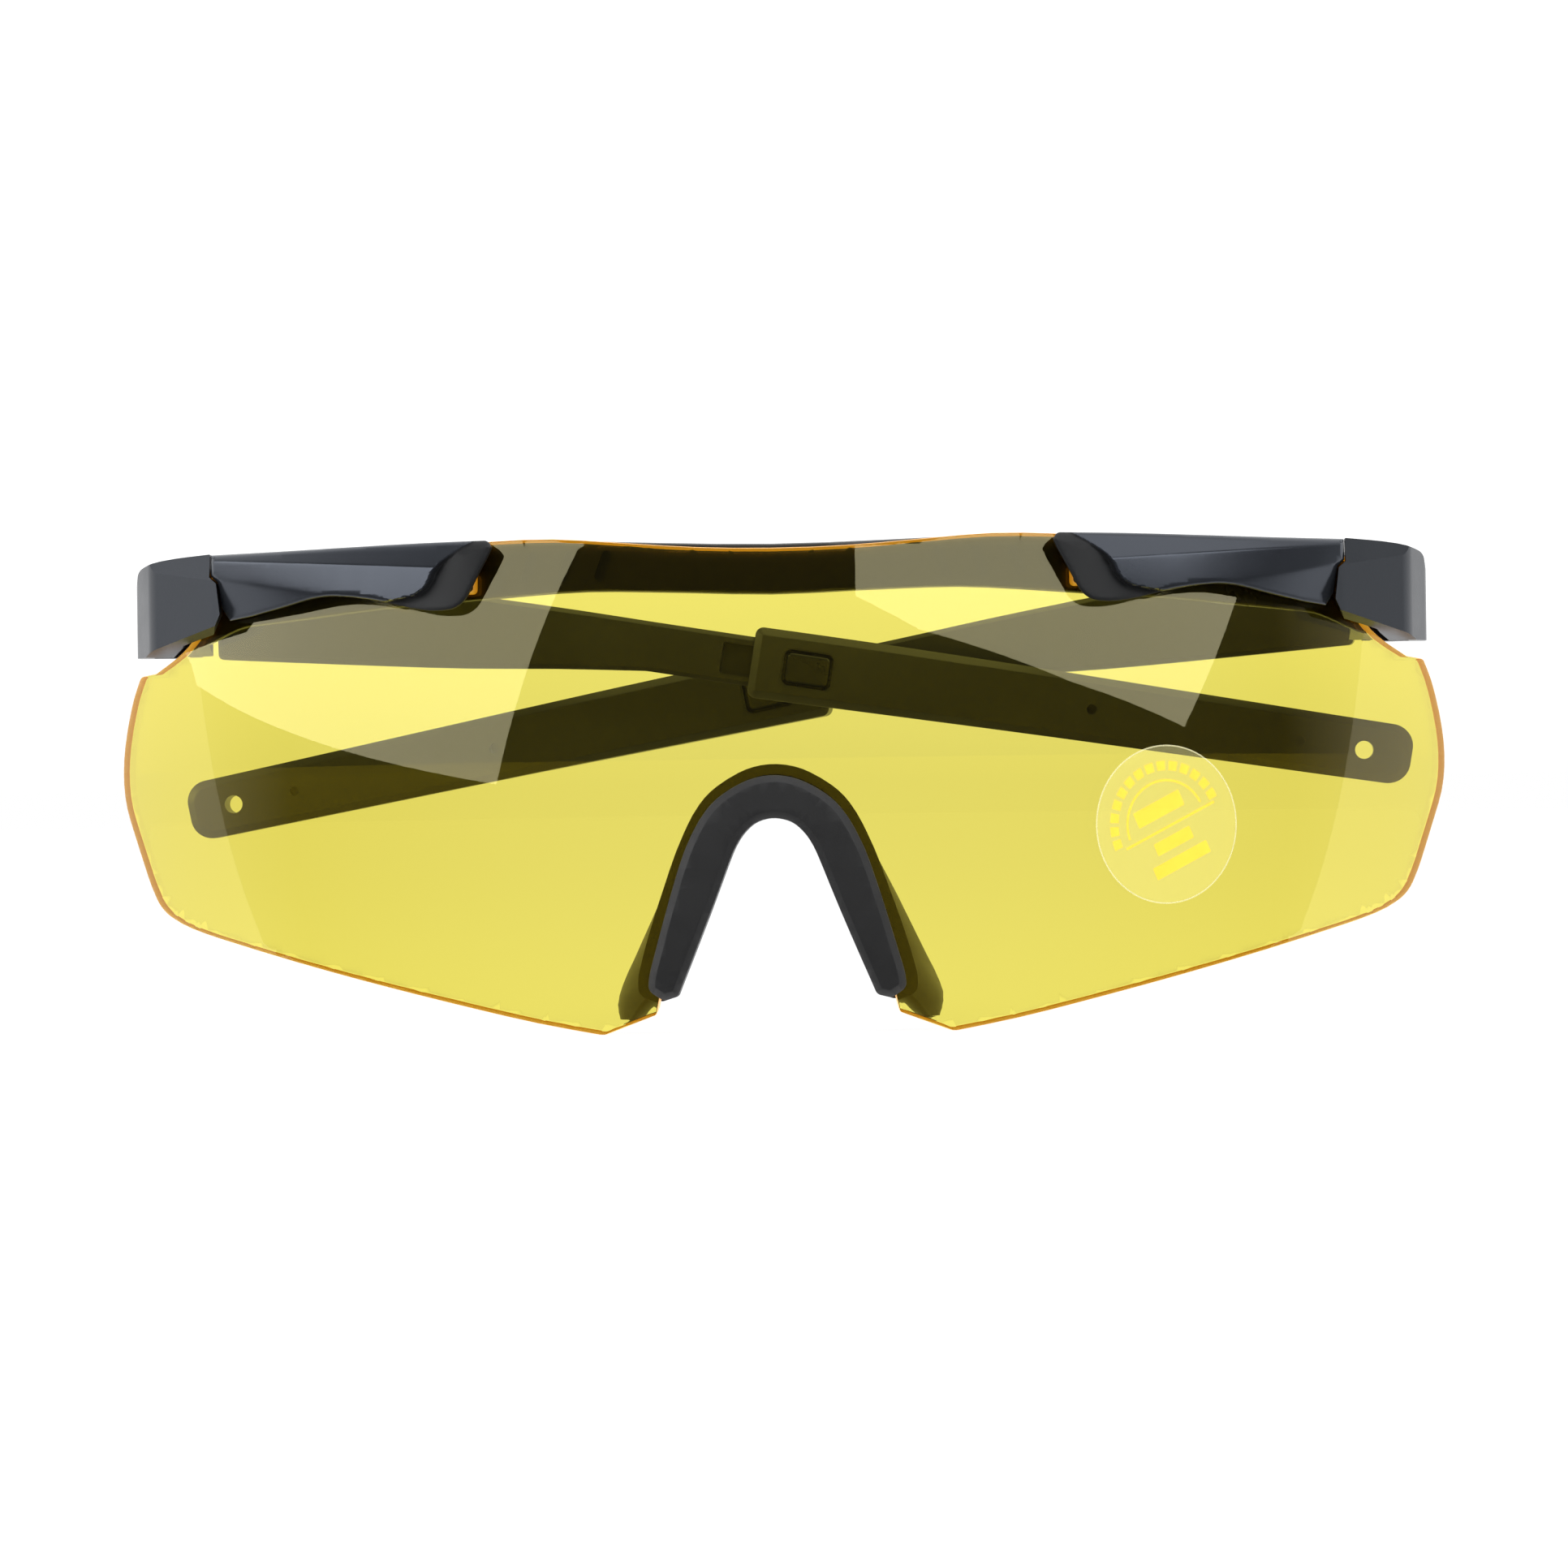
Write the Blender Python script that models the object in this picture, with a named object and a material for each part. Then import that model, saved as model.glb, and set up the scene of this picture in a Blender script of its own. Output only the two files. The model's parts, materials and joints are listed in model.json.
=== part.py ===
"""Wrap-around safety glasses with a one-piece lens and folding, length-adjustable arms.

Outlines are drawn in millimetres, flat, as seen from the front: X across, Z up, Y behind
the front of the lens.  The plates that follow the lens are then bent onto its curve.
settle() turns millimetres into metres and stands the part on Z = 0 about X = Y = 0.
"""

import math

import bmesh
import bpy
from mathutils import Matrix, Vector

# Driving dimensions, millimetres and degrees.
LENS_WIDE = 146.9
LENS_HIGH = 53.8
LENS_THICK = 2.0
CURVE_ACROSS = 0.6263      # lens radius across, over its width
CURVE_UP = 88.0            # lens radius up and down
APEX_HIGH = 30.0
GAP = 0.3                  # room between neighbouring pieces
BAR_THICK = 3.2
BAR_END_THICK = 1.9
CLIP_THICK = 3.1
VENT_WIDE = 1.1
VENT_LONG = 3.4
VENT_DEEP = 1.6            # the vents are blind slots in the front of the bar
VENT_LEAN = 18.0
VENT_MID = 50.5
VENTS = (18.1, 22.1, 26.1)
SLOT_WIDE = 2.2
SLOT_HIGH = 2.4
SLOT_FROM = 32.4
SLOT_LOW = 48.1
HOOK_ROOM = 0.3           # hook inside its slot, above and below
HOOK_BACK = 0.8           # hook clear of the slot at each end
RIM_FRONT = 1.3            # nose piece in front of the lens
RIM_BACK = 1.5
PAD_DEEP = 10.0
PAD_THICK = 2.1
PIVOT_IN = 7.45            # hinge axis inboard of the widest point of the lens
PIVOT_BACK = 9.6
PIVOT_HIGH = 51.2
KNUCKLE_R = 2.3
KNUCKLE_HIGH = 3.8
KNUCKLE_DROP = 3.6
LUG_HIGH = 2.0             # upper hinge lug
LUG_LOW = 3.6              # lower hinge lug, level with the foot of the corner
PIN_R = 0.8
BORE_R = 1.0
PIN_COVER = 0.6            # plastic above the blind end of a pin's bore
WALL_THICK = 2.8
ARM_DROOP = 10.3
HINGE_PLAY = 0.95          # lean of both arms in the play of their hinges
FOLD_LEFT = 1.0            # left arm lies this much toward the lens
FOLD_RIGHT = 6.0           # right arm lies this much away from it
ARM_OUTSET = 5.5           # hinge axis to the outer face of an arm
ARM_THICK = 3.2
BLADE_THICK = 2.6
BLADE_TOP = 2.0
BLADE_LOW = -2.7
SHOULDER_TO = 64.2         # where the arm steps down to its blade
SHOULDER_TOP = 2.4
SHOULDER_LOW = -3.1
BUTT = 3.5
BLADE_FROM = 52.0
BLADE_TO = 80.0
SLEEVE_FROM = 63.5
SLEEVE_THICK = 4.7
SLEEVE_WALL = 1.0          # above and below the blade
SLEEVE_ROOM = 0.2          # sleeve round the blade
SLEEVE_SIDE = 0.25         # sleeve beside the blade
TIP_THICK = 3.0
TIP_END = 136.7
TIP_SAG = 0.8
SLIDE = 6.0
NOTCHES = 3
STRAP_HOLE = 2.0
BUTTON_AT = 69.8
BUTTON_LONG = 4.9
BUTTON_HIGH = 3.4
WINDOW_PLAY = 0.3
BUTTON_LINE = -0.35
FLANGE_LONG = 6.6          # button flange inside the blade's groove
FLANGE_HIGH = 2.9
GROOVE_ROOM = 0.3
GROOVE_DEEP = 1.7
NOTCH_R = 0.42
SPRING_SHEET = 0.2

WIDE = LENS_WIDE / 146.9
HIGH = LENS_HIGH / 53.8
RADIUS = CURVE_ACROSS * LENS_WIDE
PIVOT_X = LENS_WIDE / 2 - PIVOT_IN
STEP = 4.0

# Half outlines, millimetres: X, Z, corner radius.
LENS_TOP = [(0, 52.3, 0), (8, 52.5, 0), (15, 53.05, 0), (23.6, 53.8, 0), (30.3, 53.65, 0),
            (46, 52.6, 0), (61.4, 51.4, 0), (63.7, 50.5, 0.6), (63.9, 44.6, 0),
            (65.2, 42.9, 0), (69.3, 40.1, 0.7), (71.1, 39.8, 0.5), (72.5, 35.4, 0),
            (73.3, 31.0, 0), (73.45, 27.8, 0), (73.1, 25.1, 0), (69.9, 15.7, 2.5),
            (66.0, 12.1, 2.0), (53.2, 8.2, 0), (35.2, 3.6, 0), (18.8, 0.0, 1.8),
            (13.1, 2.2, 0.5), (12.2, 6.4, 0), (9.0, 15.1, 0), (4.6, 24.0, 3.0),
            (0, 26.0, 0)]
BAR = [(0, 52.75, 0), (12, 53.1, 0), (23.6, 53.6, 0), (30.3, 53.4, 0), (61.4, 51.2, 0),
       (64.6, 50.4, 0), (66.0, 44.6, 0), (66.2, 41.8, 0), (65.2, 41.7, 0),
       (62.9, 42.7, 0), (58.3, 44.8, 0),
       (55.5, 45.0, 0), (49.9, 45.6, 0), (42.6, 46.4, 0), (32.7, 46.9, 0),
       (19.8, 47.8, 0), (8.8, 47.5, 0), (0, 47.1, 0)]
CLIP = [(30.6, 53.6, 0.8), (46.0, 53.25, 0), (61.75, 52.9, 0), (61.9, 50.6, 0),
        (61.2, 50.0, 0), (60.7, 46.9, 0.3), (59.9, 45.6, 0.2), (55.5, 46.45, 0),
        (48.5, 48.1, 3.0), (42.4, 47.4, 0), (36.5, 46.1, 1.6), (33.6, 46.8, 1.2),
        (31.6, 50.1, 0), (30.3, 52.75, 0.4)]
# The corner's seam with the clip, and its outside measured from the hinge axis.
SEAM = [(62.2, 40.0, 0), (62.2, 43.9, 0), (61.1, 46.4, 0), (61.5, 49.8, 0), (62.3, 50.4, 0),
        (62.2, 53.0, 0)]
CORNER_OUT = [(0.4, 52.6, 0), (5.2, 51.6, 1.6), (5.9, 47.0, 0), (5.9, 40.0, 0)]
NOSE_RIM = [(0, 28.0, 0), (4.3, 26.3, 2.0), (7.7, 23.9, 2.0), (9.7, 20.2, 0),
            (12.0, 12.7, 0), (13.8, 6.5, 0), (13.7, 5.0, 0.8), (12.2, 3.9, 0.6),
            (10.6, 4.9, 0.4), (10.05, 5.6, 0), (9.0, 8.2, 0), (6.9, 13.4, 0),
            (4.9, 18.6, 0), (3.6, 21.2, 1.0), (2.4, 22.6, 1.0), (0, 23.4, 0)]
NOSE_BACK = [(0, 29.2, 0), (4.5, 27.9, 1.5), (7.4, 26.0, 2.0), (10.6, 20.0, 0),
             (13.2, 12.6, 0), (15.0, 6.5, 0), (14.8, 4.4, 0.8), (12.2, 3.7, 0.6),
             (10.6, 4.9, 0.4), (10.05, 5.6, 0), (9.0, 8.2, 0), (6.9, 13.4, 0),
             (4.9, 18.6, 0), (3.6, 21.2, 1.0), (2.4, 22.6, 1.0), (0, 23.4, 0)]
# Height, inner half width of the V, outer half width of a pad behind it, share of its depth.
PAD_LINE = [(20.6, 4.3, 9.9, 0.72), (18.6, 5.0, 10.9, 0.9), (15.0, 6.4, 12.7, 1.0),
            (11.6, 7.8, 14.3, 1.0), (8.2, 9.1, 15.9, 1.0), (5.4, 10.8, 17.2, 0.95),
            (3.4, 12.9, 17.8, 0.8), (1.9, 14.3, 17.0, 0.5)]
# Arm and tip outlines along the arm: U from the hinge, W up, corner radius.
ARM_LINE = [(32.6, 2.35, 0), (BLADE_FROM, SHOULDER_TOP, 0), (SHOULDER_TO - 0.2, SHOULDER_TOP, 0),
            (SHOULDER_TO + 0.2, BLADE_TOP, 0), (BLADE_TO, BLADE_TOP, 0.5),
            (BLADE_TO, BLADE_LOW, 0.5), (SHOULDER_TO + 0.2, BLADE_LOW, 0),
            (SHOULDER_TO - 0.2, SHOULDER_LOW, 0), (BLADE_FROM, SHOULDER_LOW, 6.0),
            (32.6, -5.8, 0)]
SLEEVE_TOP = SHOULDER_TOP + SLEEVE_ROOM + SLEEVE_WALL
SLEEVE_LOW = SHOULDER_LOW - SLEEVE_ROOM - SLEEVE_WALL
TIP_LINE = [(SLEEVE_FROM, SLEEVE_TOP, 0.7), (79.0, 3.75, 0), (98.0, 3.65, 0), (120.0, 3.4, 0),
            (TIP_END, 3.25, 2.3), (TIP_END, -3.25, 2.3), (120.0, -3.4, 0),
            (98.0, -3.65, 0), (79.0, -4.0, 0), (SLEEVE_FROM, SLEEVE_LOW, 0.7)]


# ---- Blender housekeeping -------------------------------------------------------------
def clear_scene():
    """Start from an empty file."""
    for obj in list(bpy.data.objects):
        bpy.data.objects.remove(obj, do_unlink=True)


def collection(name):
    """A collection linked to the scene."""
    made = bpy.data.collections.new(name)
    bpy.context.scene.collection.children.link(made)
    return made


def material(name, colour, roughness, metallic=0.0, transmission=0.0):
    """One Principled finish."""
    made = bpy.data.materials.new(name)
    made.use_nodes = True
    shader = made.node_tree.nodes["Principled BSDF"]
    shader.inputs["Base Color"].default_value = (*colour, 1.0)
    shader.inputs["Roughness"].default_value = roughness
    shader.inputs["Metallic"].default_value = metallic
    shader.inputs["Transmission Weight"].default_value = transmission
    made.diffuse_color = (*colour, 1.0)
    return made


# ---- outlines -------------------------------------------------------------------------
def round_corners(points):
    """Points (a, b, radius) as a loop of (a, b), with arcs at the corners given a radius."""
    loop = []
    count = len(points)
    for i, (a, b, radius) in enumerate(points):
        here = Vector((a, b))
        back = Vector(points[i - 1][:2]) - here
        on = Vector(points[(i + 1) % count][:2]) - here
        if radius <= 0:
            loop.append(here)
            continue
        back_len, on_len = back.length, on.length
        back.normalize()
        on.normalize()
        half = back.angle(on) / 2
        reach = min(radius / math.tan(half), 0.45 * back_len, 0.45 * on_len)
        bend = reach * math.tan(half)
        centre = here + (back + on).normalized() * (bend / math.sin(half))
        start = here + back * reach - centre
        stop = here + on * reach - centre
        sweep = math.pi - 2 * half
        side = 1 if start.x * stop.y - start.y * stop.x > 0 else -1
        steps = max(2, int(sweep / 0.35))
        for k in range(steps + 1):
            turn = side * sweep * k / steps
            loop.append(centre + Vector((
                start.x * math.cos(turn) - start.y * math.sin(turn),
                start.x * math.sin(turn) + start.y * math.cos(turn))))
    return loop


def front(points, mirror=False):
    """A half outline fitted to the lens size; mirrored about X = 0 into a whole one."""
    half = [(x * WIDE, z * HIGH, r) for x, z, r in points]
    if mirror:
        other = [(-x, z, r) for x, z, r in reversed(half) if x > 0]
        half = half + other
    return round_corners(half)


def area(loop):
    """Signed area of a loop."""
    total = 0.0
    for i, point in enumerate(loop):
        after = loop[(i + 1) % len(loop)]
        total += point.x * after.y - after.x * point.y
    return total / 2


def grow(loop, amount):
    """The loop moved outward by this much, square to its edges."""
    sign = 1 if area(loop) > 0 else -1
    out = []
    for i, point in enumerate(loop):
        before = (point - loop[i - 1]).normalized()
        after = (loop[(i + 1) % len(loop)] - point).normalized()
        first = Vector((before.y, -before.x)) * sign
        second = Vector((after.y, -after.x)) * sign
        both = (first + second).normalized()
        reach = amount / max(0.4, both.dot(first))
        out.append(point + both * reach)
    return out


def rectangle(a0, a1, b0, b1, radius=0.0):
    """A rounded rectangle."""
    return round_corners([(a0, b0, radius), (a1, b0, radius), (a1, b1, radius), (a0, b1, radius)])


def circle(a, b, radius, count=20):
    """A circle as a loop."""
    return [Vector((a + radius * math.cos(2 * math.pi * k / count),
                    b + radius * math.sin(2 * math.pi * k / count))) for k in range(count)]


# ---- solids ---------------------------------------------------------------------------
def link(name, mesh_data, group):
    """An object holding this mesh."""
    obj = bpy.data.objects.new(name, mesh_data)
    group.objects.link(obj)
    return obj


def skin(name, rings, group):
    """A closed solid through rings of 3-D points, capped at both ends."""
    bm = bmesh.new()
    rows = [[bm.verts.new(point) for point in ring] for ring in rings]
    for first, second in zip(rows, rows[1:]):
        for i in range(len(first)):
            j = (i + 1) % len(first)
            bm.faces.new((first[i], first[j], second[j], second[i]))
    bm.faces.new(rows[0])
    bm.faces.new(rows[-1])
    bmesh.ops.recalc_face_normals(bm, faces=bm.faces)
    mesh_data = bpy.data.meshes.new(name)
    bm.to_mesh(mesh_data)
    bm.free()
    return link(name, mesh_data, group)


def plate(name, loop, near, far, group, bevel_near=0.0, bevel_far=0.0):
    """A loop in X, Z made solid from Y = near to Y = far."""
    side = 1 if far > near else -1
    levels = []
    if bevel_near:
        levels.append((grow(loop, -bevel_near), near))
    levels.append((loop, near + side * bevel_near))
    levels.append((loop, far - side * bevel_far))
    if bevel_far:
        levels.append((grow(loop, -bevel_far), far))
    return skin(name, [[(p.x, y, p.y) for p in ring] for ring, y in levels], group)


def post(name, loop, low, high, group):
    """A loop in X, Y made solid from Z = low to Z = high."""
    return skin(name, [[(p.x, p.y, z) for p in loop] for z in (low, high)], group)


def combine(target, other, operation):
    """Boolean with the exact solver; the other object is used up."""
    modifier = target.modifiers.new("join", "BOOLEAN")
    modifier.operation = operation
    modifier.solver = "EXACT"
    modifier.object = other
    bake(target)
    bpy.data.objects.remove(other, do_unlink=True)


def bake(obj):
    """Apply an object's modifiers to its mesh."""
    depsgraph = bpy.context.evaluated_depsgraph_get()
    depsgraph.update()
    made = bpy.data.meshes.new_from_object(obj.evaluated_get(depsgraph))
    obj.modifiers.clear()
    obj.data = made


def edit(obj, change):
    """Run one change on an object's mesh in bmesh."""
    bm = bmesh.new()
    bm.from_mesh(obj.data)
    change(bm)
    bm.to_mesh(obj.data)
    bm.free()


def slice_mesh(obj, normal, stations):
    """Cut a mesh along parallel planes so it can bend."""
    def change(bm):
        for at in stations:
            everything = list(bm.verts) + list(bm.edges) + list(bm.faces)
            bmesh.ops.bisect_plane(bm, geom=everything, dist=1e-5,
                                   plane_co=Vector(normal) * at, plane_no=normal)
    edit(obj, change)


def slice_line(obj, start, end):
    """Cut a flat plate along one line in X, Z."""
    direction = Vector((end[0] - start[0], 0, end[1] - start[1]))
    normal = direction.cross(Vector((0, 1, 0))).normalized()

    def change(bm):
        everything = list(bm.verts) + list(bm.edges) + list(bm.faces)
        bmesh.ops.bisect_plane(bm, geom=everything, dist=1e-5,
                               plane_co=Vector((start[0], 0, start[1])), plane_no=normal)
    edit(obj, change)


def steps(low, high, pitch):
    """Even stations strictly between two values."""
    count = max(1, int(math.ceil((high - low) / pitch)))
    return [low + (high - low) * k / count for k in range(1, count)]


def move_points(obj, where):
    """Send every point of a mesh through where(x, y, z); faces are made triangles first."""
    def change(bm):
        bmesh.ops.triangulate(bm, faces=bm.faces)
        for vert in bm.verts:
            vert.co = where(*vert.co)
        bmesh.ops.recalc_face_normals(bm, faces=bm.faces)
    edit(obj, change)


def shave(obj, point, normal):
    """Cut away what lies on the normal's side of a plane and close the cut."""
    def change(bm):
        everything = list(bm.verts) + list(bm.edges) + list(bm.faces)
        cut = bmesh.ops.bisect_plane(bm, geom=everything, dist=1e-5, plane_co=point,
                                     plane_no=normal, clear_outer=True)
        edges = [item for item in cut["geom_cut"] if isinstance(item, bmesh.types.BMEdge)]
        bmesh.ops.holes_fill(bm, edges=edges, sides=0)
        bmesh.ops.recalc_face_normals(bm, faces=bm.faces)
    edit(obj, change)


def mirrored(obj, name, group):
    """A copy mirrored about X = 0."""
    data = obj.data.copy()
    data.transform(Matrix.Diagonal((-1, 1, 1, 1)))
    data.flip_normals()
    return link(name, data, group)


# ---- the lens curve -------------------------------------------------------------------
def curve(x, z):
    """Depth of the lens front and its slopes across and up."""
    x = max(-0.96 * RADIUS, min(0.96 * RADIUS, x))
    up = z - APEX_HIGH * HIGH
    across_root = math.sqrt(RADIUS * RADIUS - x * x)
    up_root = math.sqrt(CURVE_UP * CURVE_UP - up * up)
    return RADIUS - across_root + CURVE_UP - up_root, x / across_root, up / up_root


def bend_straight(x, y, z):
    """Bend a flat plate onto the lens, keeping its outline as seen from the front."""
    depth, across, up = curve(x, z)
    return x, depth + y * math.sqrt(1 + across * across + up * up), z


def bend_square(x, y, z):
    """Bend a flat plate onto the lens with its edges square to the curve."""
    depth, across, up = curve(x, z)
    length = math.sqrt(1 + across * across + up * up)
    return x - y * across / length, depth + y / length, z - y * up / length


def sliced(obj, x0, x1, z0, z1, pitch=STEP):
    """Cut a plate into a grid fine enough to bend."""
    slice_mesh(obj, (1, 0, 0), steps(x0, x1, pitch))
    slice_mesh(obj, (0, 0, 1), steps(z0, z1, pitch * 1.5))


# ---- front of the glasses -------------------------------------------------------------
def lens_loop():
    """Whole outline of the lens."""
    return front(LENS_TOP, mirror=True)


def slot_loop(side):
    """The slot in the lens that a clip hooks through."""
    x0 = SLOT_FROM * WIDE
    low = SLOT_LOW * HIGH
    loop = rectangle(x0, x0 + SLOT_WIDE, low, low + SLOT_HIGH, 0.4)
    return [Vector((side * p.x, p.y)) for p in loop]


def build_lens(group, spare):
    """One wrap-around lens with a slot for each clip."""
    lens = plate("lens", lens_loop(), 0, LENS_THICK, group, 0.15, 0.15)
    for side in (-1, 1):
        combine(lens, plate("cut", slot_loop(side), -1, LENS_THICK + 1, spare), "DIFFERENCE")
    sliced(lens, -LENS_WIDE / 2, LENS_WIDE / 2, 0, LENS_HIGH)
    move_points(lens, bend_square)
    return lens


def lens_pocket(spare, room):
    """The space the lens takes, with room around it."""
    pocket = plate("pocket", grow(lens_loop(), room), -GAP, LENS_THICK + GAP, spare)
    sliced(pocket, -LENS_WIDE / 2, LENS_WIDE / 2, 0, LENS_HIGH)
    return pocket


def build_bar(group, spare):
    """The brow bar behind the top of the lens, thinner at its ends."""
    near = LENS_THICK + GAP
    bar = plate("brow_frame", front(BAR, mirror=True), near, near + BAR_THICK, group, 0, 0.5)
    for side in (-1, 1):
        for x in VENTS:
            loop = rectangle(-VENT_WIDE / 2, VENT_WIDE / 2, -VENT_LONG / 2, VENT_LONG / 2, 0.45)
            lean = Matrix.Rotation(side * math.radians(VENT_LEAN), 2)
            loop = [lean @ p + Vector((side * x * WIDE, VENT_MID * HIGH)) for p in loop]
            combine(bar, plate("cut", loop, near - 1, near + VENT_DEEP, spare), "DIFFERENCE")
    sliced(bar, -66 * WIDE, 66 * WIDE, 42 * HIGH, 54 * HIGH)

    def thinner(x, y, z):
        share = min(1.0, max(0.0, (abs(x) / WIDE - 50) / 9))
        thick = BAR_THICK + (BAR_END_THICK - BAR_THICK) * share
        return bend_straight(x, near + (y - near) * thick / BAR_THICK, z)
    move_points(bar, thinner)
    return bar


def pivot_y():
    """Depth of the hinge axes."""
    return curve(PIVOT_X, APEX_HIGH * HIGH)[0] + PIVOT_BACK


def lug_stations():
    """Heights of the hinge: foot and top of the lower lug, foot and top of the upper lug."""
    base = PIVOT_HIGH * HIGH - KNUCKLE_DROP
    near = KNUCKLE_HIGH / 2 + GAP
    return base - near - LUG_LOW, base - near, base + near, base + near + LUG_HIGH


def pin_span():
    """Heights of the foot and the head of a hinge pin, inside its lugs."""
    foot, _, _, top = lug_stations()
    return foot + GAP, top - PIN_COVER - GAP


def build_corner(spare):
    """The right-hand corner with its side wall and hinge lugs, in place."""
    px, py = PIVOT_X, pivot_y()
    wall_out = px + ARM_OUTSET
    wall_in = wall_out - WALL_THICK
    end = py + BUTT - GAP
    plan = [(px - 6.0, py - 17.5, 0), (px - 3.9, py - 15.5, 0), (px + 3.6, py - 8.0, 4.5),
            (wall_out, py - 3.0, 3.0), (wall_out, end, 0.6), (wall_in, end, 0.4),
            (wall_in, py - 2.9, 0.8), (px - 1.5, py - 3.0, 0), (px - 6.0, py - 5.0, 0)]
    corner = post("corner", round_corners(plan), 38, 55 * HIGH, spare)
    outside = [(px + x, z * HIGH, radius) for x, z, radius in CORNER_OUT]
    seam = [(x * WIDE, z * HIGH, radius) for x, z, radius in SEAM]
    shape = round_corners(seam + outside)
    combine(corner, plate("cut", shape, py - 25, py + 15, spare), "INTERSECT")
    low = Vector((px - 2.3, py - 13.8, 44.4 * HIGH))
    normal = (Vector((px + 4.2, py - 6.0, 41.9 * HIGH)) - low).cross(
        Vector((px + 4.5, py + 3.2, 41.9 * HIGH)) - low)
    if normal.z > 0:
        normal.negate()
    shave(corner, low, normal.normalized())
    lower_foot, lower_top, upper_foot, upper_top = lug_stations()
    for low, high in ((lower_foot, lower_top), (upper_foot, upper_top)):
        loop = [Vector((px - KNUCKLE_R, py)), Vector((px - 1.8, py + 1.5)), Vector((px, py + 2.3)),
                Vector((px + 1.8, py + 1.5)), Vector((px + 3.4, py - 1.0)),
                Vector((px + 3.4, py - 4.2)), Vector((px - KNUCKLE_R, py - 4.2))]
        combine(corner, post("lug", loop, low, high, spare), "UNION")
    return corner


def build_frame(group, spare):
    """Brow bar and both corners as one moulding, cut for the lens and the hinge pins."""
    frame = build_bar(group, spare)
    corner = build_corner(spare)
    other = mirrored(corner, "corner_left", spare)
    combine(frame, corner, "UNION")
    combine(frame, other, "UNION")
    pocket = lens_pocket(spare, 0.45)
    move_points(pocket, bend_straight)
    combine(frame, pocket, "DIFFERENCE")
    foot, head = pin_span()
    for side in (-1, 1):
        hole = post("bore", circle(side * PIVOT_X, pivot_y(), BORE_R), foot - 5, head + GAP, spare)
        combine(frame, hole, "DIFFERENCE")
    return frame


def clip_height(x, z):
    """How far the face of a clip stands in front of the lens."""
    x = abs(x) / WIDE
    z = z / HIGH
    ridge = 50.85 + (x - 37.4) * 0.0574
    face = CLIP_THICK - (0.30 * (z - ridge) if z > ridge else 0.20 * (ridge - z))
    fold = 48.1 + (x - 48.5) * 0.16
    if z < fold:
        face -= 0.22 * (fold - z)
    inner = 36.4 + (50.8 - z) * 0.75
    if x < inner and z < 51.9 + (35.6 - x) * 0.5:
        face -= min(0.9, 1.2 * (inner - x))
    return max(0.9, face)


def build_clip(group, spare):
    """The right-hand lens clip: a faceted plate with a hook through the lens."""
    clip = plate("lens_clip_right", front(CLIP), -GAP, -GAP - CLIP_THICK, group, 0.0, 0.55)
    for start, end in (((37.4, 50.85), (52.2, 51.7)), ((61.4, 50.2), (48.5, 48.1)),
                       ((36.4, 50.8), (38.9, 47.4)), ((35.7, 50.8), (38.2, 47.4))):
        slice_line(clip, (start[0] * WIDE, start[1] * HIGH), (end[0] * WIDE, end[1] * HIGH))
    sliced(clip, 30 * WIDE, 62 * WIDE, 45 * HIGH, 54 * HIGH, 3.0)

    def lift(x, y, z):
        share = (-y - GAP) / CLIP_THICK
        return bend_straight(x, -GAP - share * clip_height(x, z), z)
    move_points(clip, lift)
    x0 = SLOT_FROM * WIDE + HOOK_BACK
    low = SLOT_LOW * HIGH + HOOK_ROOM
    stem = rectangle(x0, x0 + SLOT_WIDE - HOOK_BACK - HOOK_ROOM, low,
                     low + SLOT_HIGH - 2 * HOOK_ROOM, 0.3)
    hook = plate("hook", stem, -GAP - 0.8, LENS_THICK, spare)
    move_points(hook, bend_square)
    combine(clip, hook, "UNION")
    return clip


def build_nose_bridge(group, spare):
    """The soft V that grips the edge of the lens over the nose."""
    inside = 0.2
    bridge = plate("nose_bridge", front(NOSE_RIM, mirror=True), -GAP - RIM_FRONT,
                   LENS_THICK + GAP + 0.4, group, 0.5, 0.0)
    back = plate("back", front(NOSE_BACK, mirror=True), LENS_THICK + GAP,
                 LENS_THICK + GAP + RIM_BACK, spare, 0.0, 0.5)
    pocket = lens_pocket(spare, GAP + inside)
    combine(bridge, back, "UNION")
    combine(bridge, pocket, "DIFFERENCE")
    sliced(bridge, -18 * WIDE, 18 * WIDE, 3 * HIGH, 30 * HIGH, 3.5)
    move_points(bridge, bend_straight)
    return bridge


def build_pad(group):
    """The right-hand nose pad: a wing behind the bridge that flares back and out."""
    start = LENS_THICK + RIM_BACK + 2 * GAP
    rings = []
    for height, inner, outer, share in PAD_LINE:
        z = height * HIGH
        near = Vector((inner * WIDE + PAD_THICK / 2 + 0.3, curve(inner * WIDE, z)[0] + start + 0.9))
        far = Vector((outer * WIDE - PAD_THICK / 2, near.y + PAD_DEEP * share))
        along = (far - near).normalized()
        across = Vector((along.y, -along.x)) * PAD_THICK / 2
        bow = Vector((0.9, -0.4)) * 0.9
        middle = (near + far) / 2 + bow
        ring = [near - across, near - along * 0.9, near + across, middle + across, far + across,
                far + along * PAD_THICK * 0.4, far - across, middle - across]
        rings.append([(p.x, p.y, z) for p in ring])
    pad = skin("nose_pad_right", rings, group)
    split_faces(pad)
    return pad


def split_faces(obj):
    """Make uneven quads into triangles so that the solid stays closed."""
    def change(bm):
        bmesh.ops.triangulate(bm, faces=bm.faces)
        bmesh.ops.recalc_face_normals(bm, faces=bm.faces)
    edit(obj, change)


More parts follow.
